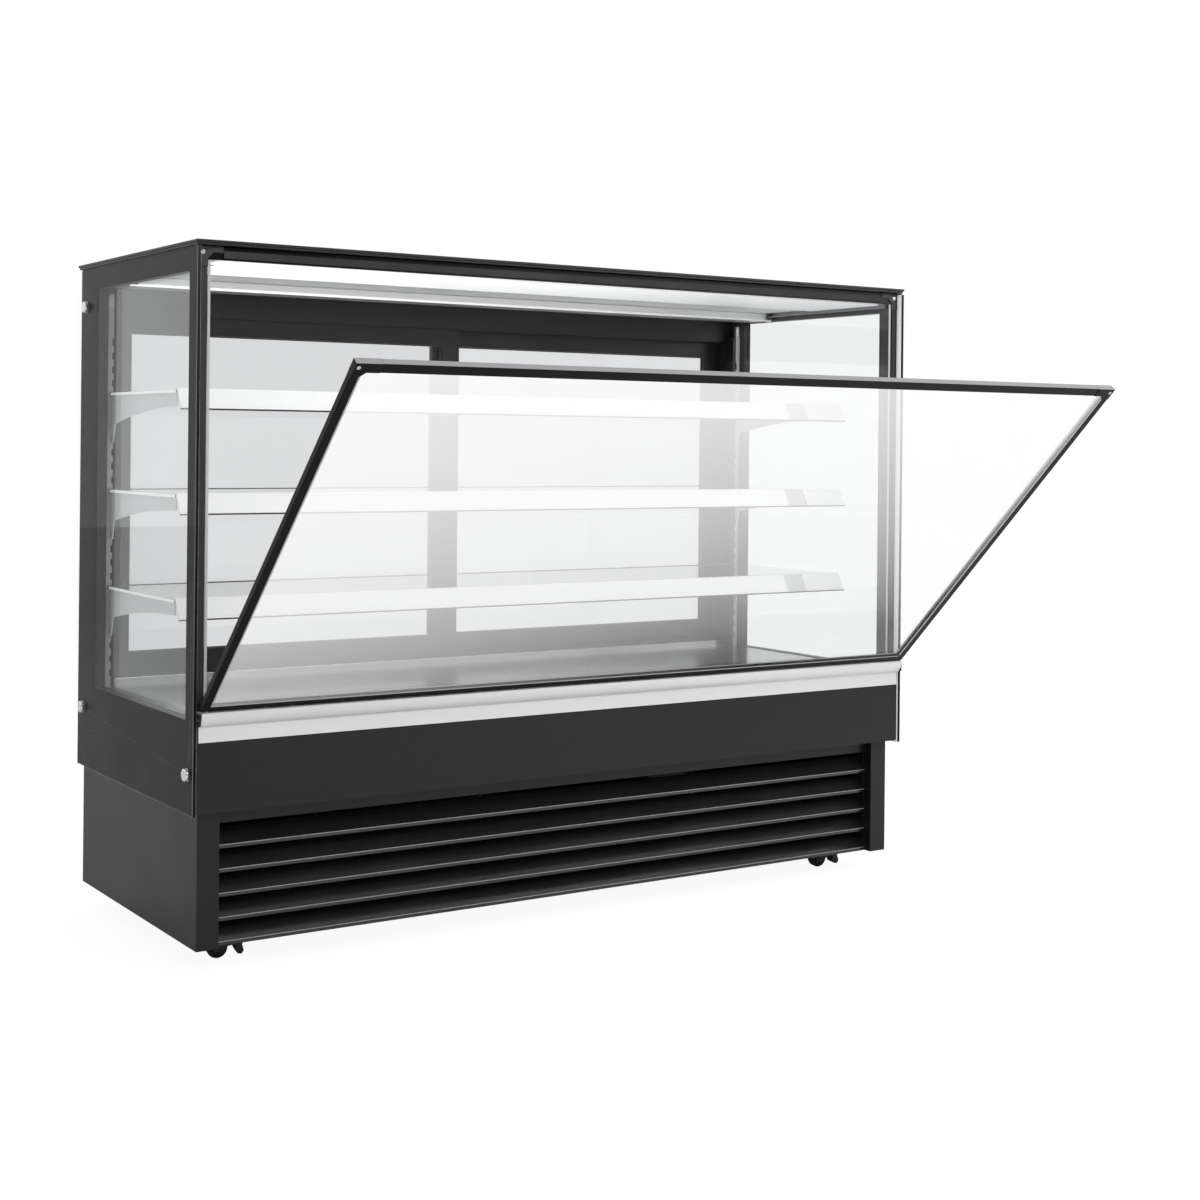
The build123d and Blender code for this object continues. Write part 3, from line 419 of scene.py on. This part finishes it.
def add_block(bm, low, high, rounding, segments=2):
    """A box with rounded edges between two corners; gives its points."""
    made = bmesh.ops.create_cube(bm, size=1.0)
    verts = made["verts"]
    size = Vector(high) - Vector(low)
    bmesh.ops.scale(bm, vec=size, verts=verts)
    bmesh.ops.translate(bm, vec=(Vector(high) + Vector(low)) / 2, verts=verts)
    edges = list({edge for vert in verts for edge in vert.link_edges})
    made = bmesh.ops.bevel(bm, geom=edges, offset=rounding, segments=segments, profile=0.5,
                           affect="EDGES")
    return list({vert for face in made["faces"] for vert in face.verts})


def axis_turn(axis):
    """The turn that takes Z to an axis."""
    return Vector((0, 0, 1)).rotation_difference(Vector(axis)).to_matrix()


def add_lathe(bm, profile, place, axis, steps=36, ring=False):
    """A round part from (distance along the axis, radius) points; a ring has a bore, a lathe has ends."""
    turn = axis_turn(axis)
    rings = []
    for along, radius in profile:
        loop = []
        for k in range(steps):
            angle = 2 * math.pi * k / steps
            point = Vector((radius * math.cos(angle), radius * math.sin(angle), along))
            loop.append(bm.verts.new(turn @ point + Vector(place)))
        rings.append(loop)
    pairs = list(zip(rings, rings[1:]))
    if ring:
        pairs.append((rings[-1], rings[0]))
    for lower, upper in pairs:
        for k in range(steps):
            n = (k + 1) % steps
            bm.faces.new((lower[k], lower[n], upper[n], upper[k]))
    if not ring:
        bm.faces.new(rings[0])
        bm.faces.new(rings[-1])


def add_prism(bm, outline, along, start, end):
    """A closed outline drawn out along X, Y or Z; the outline is in the other two axes, in order."""
    across = {"x": (1, 2, 0), "y": (0, 2, 1), "z": (0, 1, 2)}[along]
    rings = []
    for reach in (start, end):
        loop = []
        for a, b in outline:
            point = [0.0, 0.0, 0.0]
            point[across[0]] = a
            point[across[1]] = b
            point[across[2]] = reach
            loop.append(bm.verts.new(point))
        rings.append(loop)
    count = len(outline)
    for k in range(count):
        n = (k + 1) % count
        bm.faces.new((rings[0][k], rings[0][n], rings[1][n], rings[1][k]))
    bm.faces.new(rings[0])
    bm.faces.new(rings[1])


def add_frame(bm, x0, x1, z0, z1, section):
    """A mitred rectangular frame that faces Y, from a closed section of (inset, y) points."""
    rings = []
    for sx, sz in ((0, 0), (1, 0), (1, 1), (0, 1)):
        loop = []
        for inset, y in section:
            x = x1 - inset if sx else x0 + inset
            z = z1 - inset if sz else z0 + inset
            loop.append(bm.verts.new((x, y, z)))
        rings.append(loop)
    count = len(section)
    for side in range(4):
        near = rings[side]
        far = rings[(side + 1) % 4]
        for k in range(count):
            n = (k + 1) % count
            bm.faces.new((near[k], near[n], far[n], far[k]))


def round_outline(cx, cy, rx, ry, start, end, steps):
    """Points of an elliptic arc between two angles in degrees."""
    points = []
    for k in range(steps + 1):
        angle = math.radians(start + (end - start) * k / steps)
        points.append((cx + rx * math.cos(angle), cy + ry * math.sin(angle)))
    return points


# Places that several pieces use

sheet_low, sheet_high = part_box("side_sheets")
sheet_t = 6 * mm
front = sheet_low.y
back = sheet_high.y
half = sheet_high.x
case_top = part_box("top_plate")[1].z
shelf_low, shelf_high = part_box("shelf_panes")
shelf_glass = 6 * mm
shelf_count = 3
shelf_pitch = (shelf_high.z - shelf_low.z - shelf_glass) / (shelf_count - 1)
control_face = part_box("control_panel")[1].y
control_z = 345 * mm


def standoffs():
    """Chrome standoffs with a dark neck, and the two screws of the header corners."""
    back_cap_y = back - 45 * mm
    upper_cap_z = case_top - 80.5 * mm
    lower_cap_z = 378 * mm
    front_cap_y = front + 20 * mm
    front_cap_z = 333 * mm
    screw_in = 8.6 * mm
    screw_drop = 10.5 * mm
    flange = in_mm([(-6.4, 5.3), (0, 5.3), (0.05, 10.0), (0.4, 10.5), (1.9, 10.5), (2.3, 9.8)])
    disc = in_mm([(3.4, 9.6), (3.8, 10.5), (6.6, 10.5), (7.5, 9.9), (8.0, 8.6), (8.0, 4.6),
                  (7.7, 4.2)])
    neck = in_mm([(2.2, 7.6), (3.5, 7.6)])
    screw = in_mm([(-1.8, 4.3), (-0.5, 4.3), (0.1, 3.6), (0.15, 2.1), (-0.9, 1.8)])
    metal = bmesh.new()
    dark = bmesh.new()
    cap_places = [(back_cap_y, upper_cap_z), (back_cap_y, lower_cap_z), (front_cap_y, front_cap_z)]
    for y, z in cap_places:
        for side in (1, -1):
            place = (side * half, y, z)
            axis = (side, 0, 0)
            for profile in (flange, disc):
                add_lathe(metal, profile, place, axis)
            add_lathe(dark, neck, place, axis)
    corner_low, corner_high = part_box("header_corners")
    for side in (1, -1):
        place = (side * (corner_high.x - screw_in), corner_low.y, corner_high.z - screw_drop)
        add_lathe(metal, screw, place, (0, -1, 0))
    caps = piece("standoff_caps", metal, finishes["chrome"], "cabinet")
    piece("standoff_necks", dark, finishes["rubber"], "cabinet")
    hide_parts("case_fixings")


def caster_wheels():
    """Rubber wheels with a tread groove and a ribbed hub, one on each fork."""
    tread = in_mm([(-8, 11), (-8, 14.5), (-7.2, 16.6), (-5, 18), (-1.4, 18), (-1, 17.2), (1, 17.2),
                   (1.4, 18), (5, 18), (7.2, 16.6), (8, 14.5), (8, 11), (6.5, 10.4), (-6.5, 10.4)])
    hub = in_mm([(-7, 3.1), (-7.6, 4.6), (-7.6, 6), (-6, 6.6), (-6, 9.4), (-6.9, 10.3), (6.9, 10.3),
                 (6, 9.4), (6, 6.6), (7.6, 6), (7.6, 4.6), (7, 3.1)])
    lug = in_mm([(0, 0.9), (0.8, 0.9), (1.1, 0.5)])
    lug_count = 6
    lug_r = 8 * mm
    lug_seat = 5.8 * mm
    for spot in caster_spots:
        joint = joints[spot + "_wheel_spin"]
        place = Vector(joint["pos_m"])
        axis = Vector(joint["axis"])
        rubber = bmesh.new()
        add_lathe(rubber, tread, place, axis, 48, ring=True)
        tyre = piece("wheel_tyre_" + spot, rubber, finishes["rubber"], "wheel_" + spot)
        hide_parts("caster_wheel_" + spot)
        core = bmesh.new()
        add_lathe(core, hub, place, axis, 48, ring=True)
        turn = axis_turn(axis)
        for face in (-1, 1):
            for k in range(lug_count):
                angle = 2 * math.pi * k / lug_count
                out = turn @ Vector((math.cos(angle), math.sin(angle), 0))
                lug_place = place + out * lug_r + axis * face * lug_seat
                add_lathe(core, lug, lug_place, axis * face, 10)
        piece("wheel_hub_" + spot, core, finishes["black_plastic"], "wheel_" + spot)


def ceiling_trim():
    """Bright lip under the air canopy, its end brackets, and the rails along the ceiling's sides."""
    low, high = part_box("led_canopy")
    lip_y = low.y + 3.4 * mm
    lip_z = low.z + 0.6 * mm
    lip_w = 3 * mm
    lip_h = 2.4 * mm
    end_gap = 1 * mm
    lip = bmesh.new()
    outline = round_outline(lip_y, lip_z, lip_w, lip_h, 0, 345, 18)
    add_prism(lip, outline, "x", low.x + end_gap, high.x - end_gap)
    piece("canopy_lip", lip, finishes["lamp_white"], "cabinet")
    rails = bmesh.new()
    brackets = bmesh.new()
    rail_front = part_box("lamp_panel")[0].y
    rail_w = 11 * mm
    rail_h = 8.5 * mm
    wall = 1.2 * mm
    bracket_side = 15 * mm
    rivet = in_mm([(0, 2.6), (0.8, 2.4), (1.4, 1.2)])
    top = high.z
    for side in (1, -1):
        out = side * (high.x - 0.3 * mm)
        inn = out - side * rail_w
        channel = [(out, top), (out, top - rail_h), (inn, top - rail_h), (inn, top - rail_h + wall),
                   (out - side * wall, top - rail_h + wall), (out - side * wall, top)]
        add_prism(rails, channel, "y", rail_front, low.y - 2 * mm)
        x0, x1 = sorted((out, out - side * bracket_side))
        add_block(brackets, (x0, low.y - 1.6 * mm, top - bracket_side),
                  (x1, low.y + 2 * mm, top - 0.2 * mm), 0.6 * mm)
        for share in (0.12, 0.48, 0.84):
            y = rail_front + share * (low.y - rail_front)
            add_lathe(brackets, rivet, (inn + side * 5 * mm, y, top - rail_h), (0, 0, -1), 20)
    piece("ceiling_side_rails", rails, finishes["zinc"], "cabinet")
    piece("canopy_brackets", brackets, grey_bead, "cabinet")


def vent_filters():
    """Pleated filter mats behind the vents of the service panel."""
    low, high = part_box("rear_service_panel")
    vent_x = 450 * mm
    mat_w = 312 * mm
    z0 = low.z + 34 * mm
    z1 = low.z + 190 * mm
    pleats = 52
    depth = 5 * mm
    face_y = low.y - 0.8 * mm
    holder_w = 4 * mm
    holder_rise = 3 * mm
    ends = bmesh.new()
    for side, word in ((1, "right"), (-1, "left")):
        start = side * vent_x - mat_w / 2
        bm = bmesh.new()
        rows = []
        for k in range(2 * pleats + 1):
            x = start + mat_w * k / (2 * pleats)
            y = face_y - depth * (k % 2)
            rows.append((bm.verts.new((x, y, z0)), bm.verts.new((x, y, z1))))
        for near, far in zip(rows, rows[1:]):
            bm.faces.new((near[0], far[0], far[1], near[1]))
        mat = piece("vent_filter_" + word, bm, finishes["foam_black"], "cabinet", 10)
        thick = mat.modifiers.new("thickness", "SOLIDIFY")
        thick.thickness = 0.5 * mm
        thick.offset = -1
        for x in (start, start + mat_w):
            add_block(ends, (x - holder_w, low.y - 8 * mm, z0 - holder_rise),
                      (x + holder_w, low.y, z1 + holder_rise), 0.6 * mm)
    piece("filter_holders", ends, finishes["machine_black"], "cabinet")


def pan_head(bm, place, axis, radius):
    """A domed screw head with a round recess."""
    profile = [(0, 1.0), (0.18, 1.0), (0.42, 0.78), (0.5, 0.45), (0.5, 0.3), (0.26, 0.26)]
    add_lathe(bm, [(a * radius, r * radius) for a, r in profile], place, axis, 20)


def service_screws():
    """Screw heads round the service panel and the control strip."""
    bm = bmesh.new()
    inset = 12 * mm
    across = 6
    for name, set_back, radius in (("rear_service_panel", 0, 4 * mm),
                                   ("control_panel", 3 * mm, 3.2 * mm)):
        low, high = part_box(name)
        step = (high.x - low.x - 2 * inset) / (across - 1)
        for k in range(across):
            x = low.x + inset + k * step
            for z in (low.z + inset, high.z - inset):
                pan_head(bm, (x, high.y - set_back, z), (0, 1, 0), radius)
    piece("service_screws", bm, finishes["zinc"], "cabinet")


def thermostat():
    """Dark display window with a two-digit figure, and four round keys beside it."""
    face = control_face
    window_half = 25.5 * mm
    glass = bmesh.new()
    add_block(glass, (-window_half, face - 2.2 * mm, control_z - 8.6 * mm),
              (window_half, face - 0.4 * mm, control_z + 10.6 * mm), 0.5 * mm)
    piece("thermostat_window", glass, finishes["machine_black"], "cabinet")
    keys = bmesh.new()
    dome = in_mm([(-0.4, 3.4), (0.5, 3.4), (0.9, 2.8), (1.0, 1.4)])
    key_x = 32 * mm
    key_dz = 6 * mm
    for x in (-key_x, key_x):
        for dz in (-key_dz, key_dz):
            add_lathe(keys, dome, (x, face, control_z + dz), (0, 1, 0), 28)
    piece("thermostat_keys", keys, grey_bead, "cabinet")
    digits = bmesh.new()
    digit_x = 7 * mm
    digit_z = control_z + 1 * mm
    bar = 1.3 * mm
    wide = 7 * mm
    tall = 6.4 * mm
    trim = 0.3 * mm
    spots = {"top": (0, tall, 1), "mid": (0, 0, 1), "low": (0, -tall, 1),
             "tl": (-wide / 2, tall / 2, 0), "tr": (wide / 2, tall / 2, 0),
             "bl": (-wide / 2, -tall / 2, 0), "br": (wide / 2, -tall / 2, 0)}
    figures = (("top", "tl", "tr", "bl", "br", "low"), ("tl", "tr", "mid", "br"))
    for centre, lit in zip((digit_x, -digit_x), figures):
        for word in lit:
            dx, dz, flat = spots[word]
            w = (wide if flat else bar) / 2 - trim * flat
            h = (bar if flat else tall) / 2 - trim * (1 - flat)
            x = centre - dx
            add_block(digits, (x - w, face - 0.5 * mm, digit_z + dz - h),
                      (x + w, face - 0.2 * mm, digit_z + dz + h), 0.1 * mm, 1)
    piece("thermostat_digits", digits, lit_digit, "cabinet")


def rocker_marks():
    """A bar and a ring on each rocker switch, on its two sloping halves."""
    tilt = math.radians(10)
    bar_half = 0.5 * mm
    bar_drop = 2.1 * mm
    bar_z = 2.9 * mm
    ring_drop = 0.75 * mm
    ring_z = -3.1 * mm
    ring_axis = (0, 0.965, 0.262)
    ring = in_mm([(-0.3, 1.3), (0.15, 1.3), (0.15, 1.9), (-0.3, 1.9)])
    for name, body in (("light_switch", "light_rocker"), ("power_switch", "power_rocker")):
        low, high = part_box(name)
        x = (low.x + high.x) / 2
        z = (low.z + high.z) / 2
        face = high.y
        bm = bmesh.new()
        verts = add_block(bm, (x - bar_half, face - 2.3 * mm, z + 1.2 * mm),
                          (x + bar_half, face - 1.7 * mm, z + 4.6 * mm), 0.15 * mm, 1)
        bmesh.ops.rotate(bm, cent=(x, face - bar_drop, z + bar_z), verts=verts,
                         matrix=Matrix.Rotation(tilt, 3, "X"))
        add_lathe(bm, ring, (x, face - ring_drop, z + ring_z), ring_axis, 24, ring=True)
        piece(name + "_marks", bm, finishes["white_plastic"], body)


def power_inlet():
    """Three flat pins in the inlet's socket, and its two screws."""
    face = control_face
    inlet_x = 560 * mm
    screw_x = 19 * mm
    screw_r = 2.6 * mm
    pin_half_w = 1 * mm
    pin_half_h = 2 * mm
    shell = bmesh.new()
    add_block(shell, (inlet_x - 11.8 * mm, face - 9 * mm, control_z - 7.8 * mm),
              (inlet_x + 11.8 * mm, face - 6.5 * mm, control_z + 7.8 * mm), 0.4 * mm)
    piece("inlet_socket", shell, finishes["black_plastic"], "cabinet")
    pins = bmesh.new()
    for dx, dz in in_mm([(-7, -1.5), (0, 2.5), (7, -1.5)]):
        x = inlet_x + dx
        z = control_z + dz
        add_block(pins, (x - pin_half_w, face - 7 * mm, z - pin_half_h),
                  (x + pin_half_w, face - 0.6 * mm, z + pin_half_h), 0.4 * mm)
    for dx in (-screw_x, screw_x):
        pan_head(pins, (inlet_x + dx, face, control_z), (0, 1, 0), screw_r)
    piece("inlet_pins", pins, finishes["zinc"], "cabinet")


def glazing_beads():
    """Soft beads round the glass of each sliding door, on both faces."""
    bite = 8 * mm
    bead_w = 3.4 * mm
    bead_h = 2.6 * mm
    seat = 0.1 * mm
    for side in ("left", "right"):
        low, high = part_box(f"rear_door_{side}_glass")
        bm = bmesh.new()
        for face, out in ((low.y, -1), (high.y, 1)):
            y0 = face + out * seat
            y1 = face + out * bead_h
            section = [(seat, y0), (bead_w, y0), (bead_w - 0.2 * mm, y0 + out * 0.9 * mm),
                       (1.6 * mm, y1), (seat, y1)]
            add_frame(bm, low.x + bite, high.x - bite, low.z + bite, high.z - bite, section)
        piece(f"rear_door_{side}_beads", bm, grey_bead, f"rear_door_{side}")


def sheet_arrises():
    """Fine light grey line down the ground front edge of each outer sheet, a painted highlight."""
    end_gap = 1 * mm
    bm = bmesh.new()
    for side in (1, -1):
        outline = [(side * (half + 0.15 * mm), front + 1.3 * mm),
                   (side * (half - 0.9 * mm), front - 0.15 * mm),
                   (side * (half + 0.1 * mm), front - 0.1 * mm)]
        add_prism(bm, outline, "z", sheet_low.z + end_gap, sheet_high.z - end_gap)
    piece("sheet_arrises", bm, arris_highlight, "cabinet")


def window_prints():
    """Black print on the inner face of each outer sheet, round its window."""
    rim = 0.3 * mm
    inner = half - sheet_t + 0.1 * mm
    print_t = 0.5 * mm
    edge = (front + rim, back - rim, sheet_low.z + rim, sheet_high.z - rim)
    window = (front + 45 * mm, front + 471 * mm, 418 * mm, case_top - 48 * mm)
    bm = bmesh.new()
    for side in (1, -1):
        rings = []
        for x in (inner, inner + print_t):
            for y0, y1, z0, z1 in (edge, window):
                corners = ((y0, z0), (y1, z0), (y1, z1), (y0, z1))
                rings.append([bm.verts.new((side * x, y, z)) for y, z in corners])
        near_edge, near_window, far_edge, far_window = rings
        for k in range(4):
            n = (k + 1) % 4
            for a, b in ((near_edge, near_window), (far_edge, far_window), (near_edge, far_edge),
                         (near_window, far_window)):
                bm.faces.new((a[k], a[n], b[n], b[k]))
    prints = piece("window_prints", bm, finishes["black_print"], "cabinet")
    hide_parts("side_prints")


def inner_pane_edges():
    """Front edges of the inner panes as grey strips, a painted highlight for the light they catch."""
    low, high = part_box("side_panes")
    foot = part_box("hinge_plates")[1].z
    end_gap = 1 * mm
    near = high.x - 5.4 * mm
    far = high.x - 0.1 * mm
    chamfer = 0.7 * mm
    base_y = low.y + 0.2 * mm
    nose_y = low.y - 0.4 * mm
    bm = bmesh.new()
    for side in (1, -1):
        outline = [(side * near, base_y), (side * (near + chamfer), nose_y),
                   (side * (far - chamfer), nose_y), (side * far, base_y)]
        add_prism(bm, outline, "z", foot + end_gap, high.z - end_gap)
    piece("inner_pane_edges", bm, edge_glint_grey, "cabinet")


def upright_heads():
    """Upper ends of the slotted uprights, which run up behind the air canopy."""
    head_d = 8 * mm
    head_h = 26 * mm
    bm = bmesh.new()
    for side in (1, -1):
        x0, x1 = ordered(side, pale_from, upright_high.x - 0.1 * mm)
        add_block(bm, (x0, upright_low.y, upright_high.z),
                  (x1, upright_low.y + head_d, upright_high.z + head_h), 0.6 * mm)
    piece("upright_heads", bm, finishes["zinc"], "cabinet")


def grille():
    """Sloping slats, each with a turned-down lip and a lighter strip along its bend that is a painted highlight,
    and a foot rail under them.
    """
    low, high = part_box("grille_slats")
    base_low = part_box("base_side_panels")[0]
    count = 5
    thick = 1.4 * mm
    lip = 6 * mm
    rise = 25 * mm
    pitch = (high.z - low.z - lip - rise) / (count - 1)
    bend = 0.8 * mm
    end_gap = 0.5 * mm
    blades = bmesh.new()
    bends = bmesh.new()
    for k in range(count):
        z = low.z + lip + k * pitch
        outline = [(low.y, z - lip), (low.y + thick, z - lip), (low.y + thick, z - thick),
                   (high.y, z + rise - thick), (high.y, z + rise), (low.y, z)]
        add_prism(blades, outline, "x", low.x, high.x)
        outline = round_outline(low.y + bend * 0.8, z - bend * 0.6, bend, bend, 0, 342, 19)
        add_prism(bends, outline, "x", low.x + end_gap, high.x - end_gap)
    blade = piece("grille_blades", blades, finishes["black_slats"], "cabinet")
    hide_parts("grille_slats")
    piece("slat_bends", bends, slat_bend_highlight, "cabinet")
    rail = bmesh.new()
    rail_d = 14 * mm
    add_block(rail, (low.x, low.y + end_gap, base_low.z), (high.x, low.y + rail_d, low.z), 0.8 * mm)
    piece("grille_foot_rail", rail, finishes["black_steel"], "cabinet")


def shelf_backs():
    """Dark channel along the rear edge of each glass shelf."""
    lap = 8 * mm
    wall = 0.9 * mm
    web = 0.5 * mm
    fit = 0.05 * mm
    end_gap = 2 * mm
    y0 = shelf_high.y - lap
    y1 = shelf_high.y + wall
    bm = bmesh.new()
    for k in range(shelf_count):
        under = shelf_low.z + k * shelf_pitch
        top = under + shelf_glass
        outline = [(y0, top + fit), (y0, top + wall), (y1, top + wall), (y1, under - wall),
                   (y0, under - wall), (y0, under - fit), (y1 - web, under - fit),
                   (y1 - web, top + fit)]
        add_prism(bm, outline, "x", shelf_low.x + end_gap, shelf_high.x - end_gap)
    piece("shelf_back_channels", bm, grey_bead, "cabinet")


def shelf_ends():
    """Pale ends of the glass shelves, a painted highlight along their glass edges."""
    inset = 0.4 * mm
    film = 0.35 * mm
    y0 = shelf_low.y + 2 * mm
    y1 = shelf_high.y - 9 * mm
    bm = bmesh.new()
    for k in range(shelf_count):
        z0 = shelf_low.z + k * shelf_pitch + inset
        z1 = z0 + shelf_glass - 2 * inset
        for side in (1, -1):
            x0, x1 = ordered(side, shelf_high.x, shelf_high.x + film)
            add_block(bm, (x0, y0, z0), (x1, y1, z1), 0.1 * mm)
    piece("shelf_glass_ends", bm, pale_seal_glow, "cabinet")


def strip_shadow_lines():
    """Fine dark line along the foot of each shelf strip, a painted shadow under its lower edge."""
    low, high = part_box("strip_inserts")
    foot_y = low.y + 0.6 * mm
    section = in_mm([(-1.0, 1.6), (-0.6, -0.9), (3.2, -0.9), (3.0, 0.4)])
    bm = bmesh.new()
    for k in range(shelf_count):
        foot_z = low.z + k * shelf_pitch
        outline = [(foot_y + dy, foot_z + dz) for dy, dz in section]
        add_prism(bm, outline, "x", low.x, high.x)
    piece("strip_shadow_lines", bm, dark_metal, "cabinet")


def outer_edges():
    """Pale seals inside the outer sheets, with a painted glow, and the dark front edges of the sheets."""
    seals = bmesh.new()
    edges = bmesh.new()
    z0 = sheet_low.z + 1 * mm
    z1 = sheet_high.z - 3 * mm
    inner = half - sheet_t
    seal_back = front + 13 * mm
    rounding = 0.1 * mm
    for side in (1, -1):
        x0, x1 = ordered(side, inner - 0.3 * mm, inner + 0.05 * mm)
        add_block(seals, (x0, front + 0.6 * mm, z0), (x1, seal_back, z1), rounding)
        x0, x1 = ordered(side, inner + 0.1 * mm, half - 0.2 * mm)
        add_block(edges, (x0, front - 0.1 * mm, z0), (x1, front + 0.2 * mm, z1), rounding)
    piece("side_seals", seals, pale_seal_glow, "cabinet")
    piece("dark_sheet_edges", edges, dark_edge, "cabinet")


def pipe(name, points, radius):
    """A bent pipe in black lagging through given points."""
    curve = bpy.data.curves.new(name, "CURVE")
    curve.dimensions = "3D"
    curve.bevel_depth = radius
    curve.bevel_resolution = 4
    curve.use_fill_caps = True
    spline = curve.splines.new("NURBS")
    spline.points.add(len(points) - 1)
    for point, place in zip(spline.points, points):
        point.co = (*place, 1)
    spline.order_u = 3
    spline.use_endpoint_u = True
    curve.materials.append(lagging)
    obj = bpy.data.objects.new(name, curve)
    scene.collection.objects.link(obj)
    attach(obj, "cabinet")


def refrigerant_pipes():
    """Discharge and suction pipes between the compressor and the condenser coil."""
    low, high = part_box("compressor")
    coil_low, coil_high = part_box("condenser_coil")
    x = (low.x + high.x) / 2
    y = (low.y + high.y) / 2 + 8 * mm
    coil_y = (coil_low.y + coil_high.y) / 2
    end_x = coil_high.x + 6 * mm
    routes = (("discharge_pipe", -26 * mm, 18 * mm, 24 * mm, 4 * mm),
              ("suction_pipe", 26 * mm, 10 * mm, 114 * mm, 5 * mm))
    for name, offset, rise, drop, radius in routes:
        top = high.z + rise
        end_z = coil_high.z - drop
        pipe(name, [
            (x + offset, y, high.z - 16 * mm), (x + offset, y, top - 6 * mm),
            (x + offset, y, top), (x - 120 * mm, y - 20 * mm, top),
            (x - 320 * mm, coil_y + 30 * mm, top), (end_x + 30 * mm, coil_y, top),
            (end_x + 14 * mm, coil_y, top - 8 * mm), (end_x + 14 * mm, coil_y, end_z + 14 * mm),
            (end_x + 12 * mm, coil_y, end_z), (end_x - 4 * mm, coil_y, end_z),
        ], radius)


standoffs()
caster_wheels()
ceiling_trim()
vent_filters()
service_screws()
thermostat()
rocker_marks()
power_inlet()
glazing_beads()
sheet_arrises()
window_prints()
inner_pane_edges()
upright_heads()
grille()
shelf_backs()
shelf_ends()
outer_edges()
strip_shadow_lines()
refrigerant_pipes()


# Floor, backdrop and light

floor_glow = 0.93
floor_tone = 0.82
shadow_tone = 0.12
floor_half = 14.0
sky_front = 0.36
sky_back = 0.9


def seen_directly(tree, near, plain):
    """One shader for the camera's own view and another for light that bounces."""
    path = tree.nodes.new("ShaderNodeLightPath")
    mix = tree.nodes.new("ShaderNodeMixShader")
    tree.links.new(path.outputs["Is Camera Ray"], mix.inputs["Fac"])
    tree.links.new(plain, mix.inputs[1])
    tree.links.new(near, mix.inputs[2])
    return mix.outputs["Shader"]


def white_stage():
    """Pale floor that reads white to the camera, with a faint contact shadow."""
    m, tree, out = new_material("stage white")
    glow = tree.nodes.new("ShaderNodeEmission")
    glow.inputs["Color"].default_value = (1, 1, 1, 1)
    glow.inputs["Strength"].default_value = floor_glow
    pale = tree.nodes.new("ShaderNodeBsdfDiffuse")
    pale.inputs["Color"].default_value = (*[floor_tone] * 3, 1)
    faint = tree.nodes.new("ShaderNodeBsdfDiffuse")
    faint.inputs["Color"].default_value = (*[shadow_tone] * 3, 1)
    both = tree.nodes.new("ShaderNodeAddShader")
    tree.links.new(glow.outputs["Emission"], both.inputs[0])
    tree.links.new(faint.outputs["BSDF"], both.inputs[1])
    shown = seen_directly(tree, both.outputs["Shader"], pale.outputs["BSDF"])
    tree.links.new(shown, out.inputs["Surface"])
    corners = [(-floor_half, -floor_half, 0), (floor_half, -floor_half, 0),
               (floor_half, floor_half, 0), (-floor_half, floor_half, 0)]
    mesh = bpy.data.meshes.new("floor")
    mesh.from_pydata(corners, [], [(0, 1, 2, 3)])
    mesh.materials.append(m)
    floor = bpy.data.objects.new("floor", mesh)
    floor.location.z = -0.5 * mm
    scene.collection.objects.link(floor)
    return floor


def world_light():
    """White sky for the camera; for everything else a soft sky, brighter behind the case."""
    world = bpy.data.worlds.new("studio")
    scene.world = world
    world.use_nodes = True
    tree = world.node_tree
    tree.nodes.clear()
    out = tree.nodes.new("ShaderNodeOutputWorld")
    white = tree.nodes.new("ShaderNodeBackground")
    white.inputs["Color"].default_value = (1, 1, 1, 1)
    white.inputs["Strength"].default_value = 1.0
    soft = tree.nodes.new("ShaderNodeBackground")
    soft.inputs["Color"].default_value = (1, 1, 1, 1)
    coord = tree.nodes.new("ShaderNodeTexCoord")
    split = tree.nodes.new("ShaderNodeSeparateXYZ")
    tree.links.new(coord.outputs["Generated"], split.inputs["Vector"])
    tree.links.new(spread(tree, split.outputs["Y"], sky_front, sky_back, -0.95, 0.5),
                   soft.inputs["Strength"])
    shown = seen_directly(tree, white.outputs["Background"], soft.outputs["Background"])
    tree.links.new(shown, out.inputs["Surface"])


def area(name, place, target, size, power):
    """A soft area light aimed at a point."""
    light = bpy.data.lights.new(name, "AREA")
    light.shape = "RECTANGLE"
    light.size = size[0]
    light.size_y = size[1]
    light.energy = power
    obj = bpy.data.objects.new(name, light)
    obj.location = place
    aim = Vector(target) - Vector(place)
    obj.rotation_euler = aim.to_track_quat("-Z", "Y").to_euler()
    obj.visible_camera = False
    scene.collection.objects.link(obj)


white_floor = white_stage()
world_light()
case_middle = (0, 0.2, 0.6)
area("key", (0.9, -3.4, 3.0), case_middle, (2.4, 1.6), 58)
area("fill", (2.8, -2.6, 2.4), case_middle, (2.0, 2.0), 40)
area("back", (1.2, 3.6, 2.9), (0, 0.3, 0.8), (2.4, 1.4), 22)
scene.cycles.transparent_max_bounces = 24


# Camera

cam_data = bpy.data.cameras.new("camera")
cam_data.sensor_width = 36.0
image_side = 1200
focal = 1784.8
centre_x = 442.3
centre_y = 441.0
cam_data.lens = focal / image_side * cam_data.sensor_width
cam_data.shift_x = (image_side / 2 - centre_x) / image_side
cam_data.shift_y = (centre_y - image_side / 2) / image_side
cam = bpy.data.objects.new("camera", cam_data)
roll = math.radians(-0.569)
yaw = math.radians(-30.988)
cam.location = (-1.9244, -2.6839, 0.8777)
cam.rotation_euler = (math.radians(90), roll, yaw)
scene.collection.objects.link(cam)
scene.camera = cam

scene.view_settings.view_transform = "Standard"
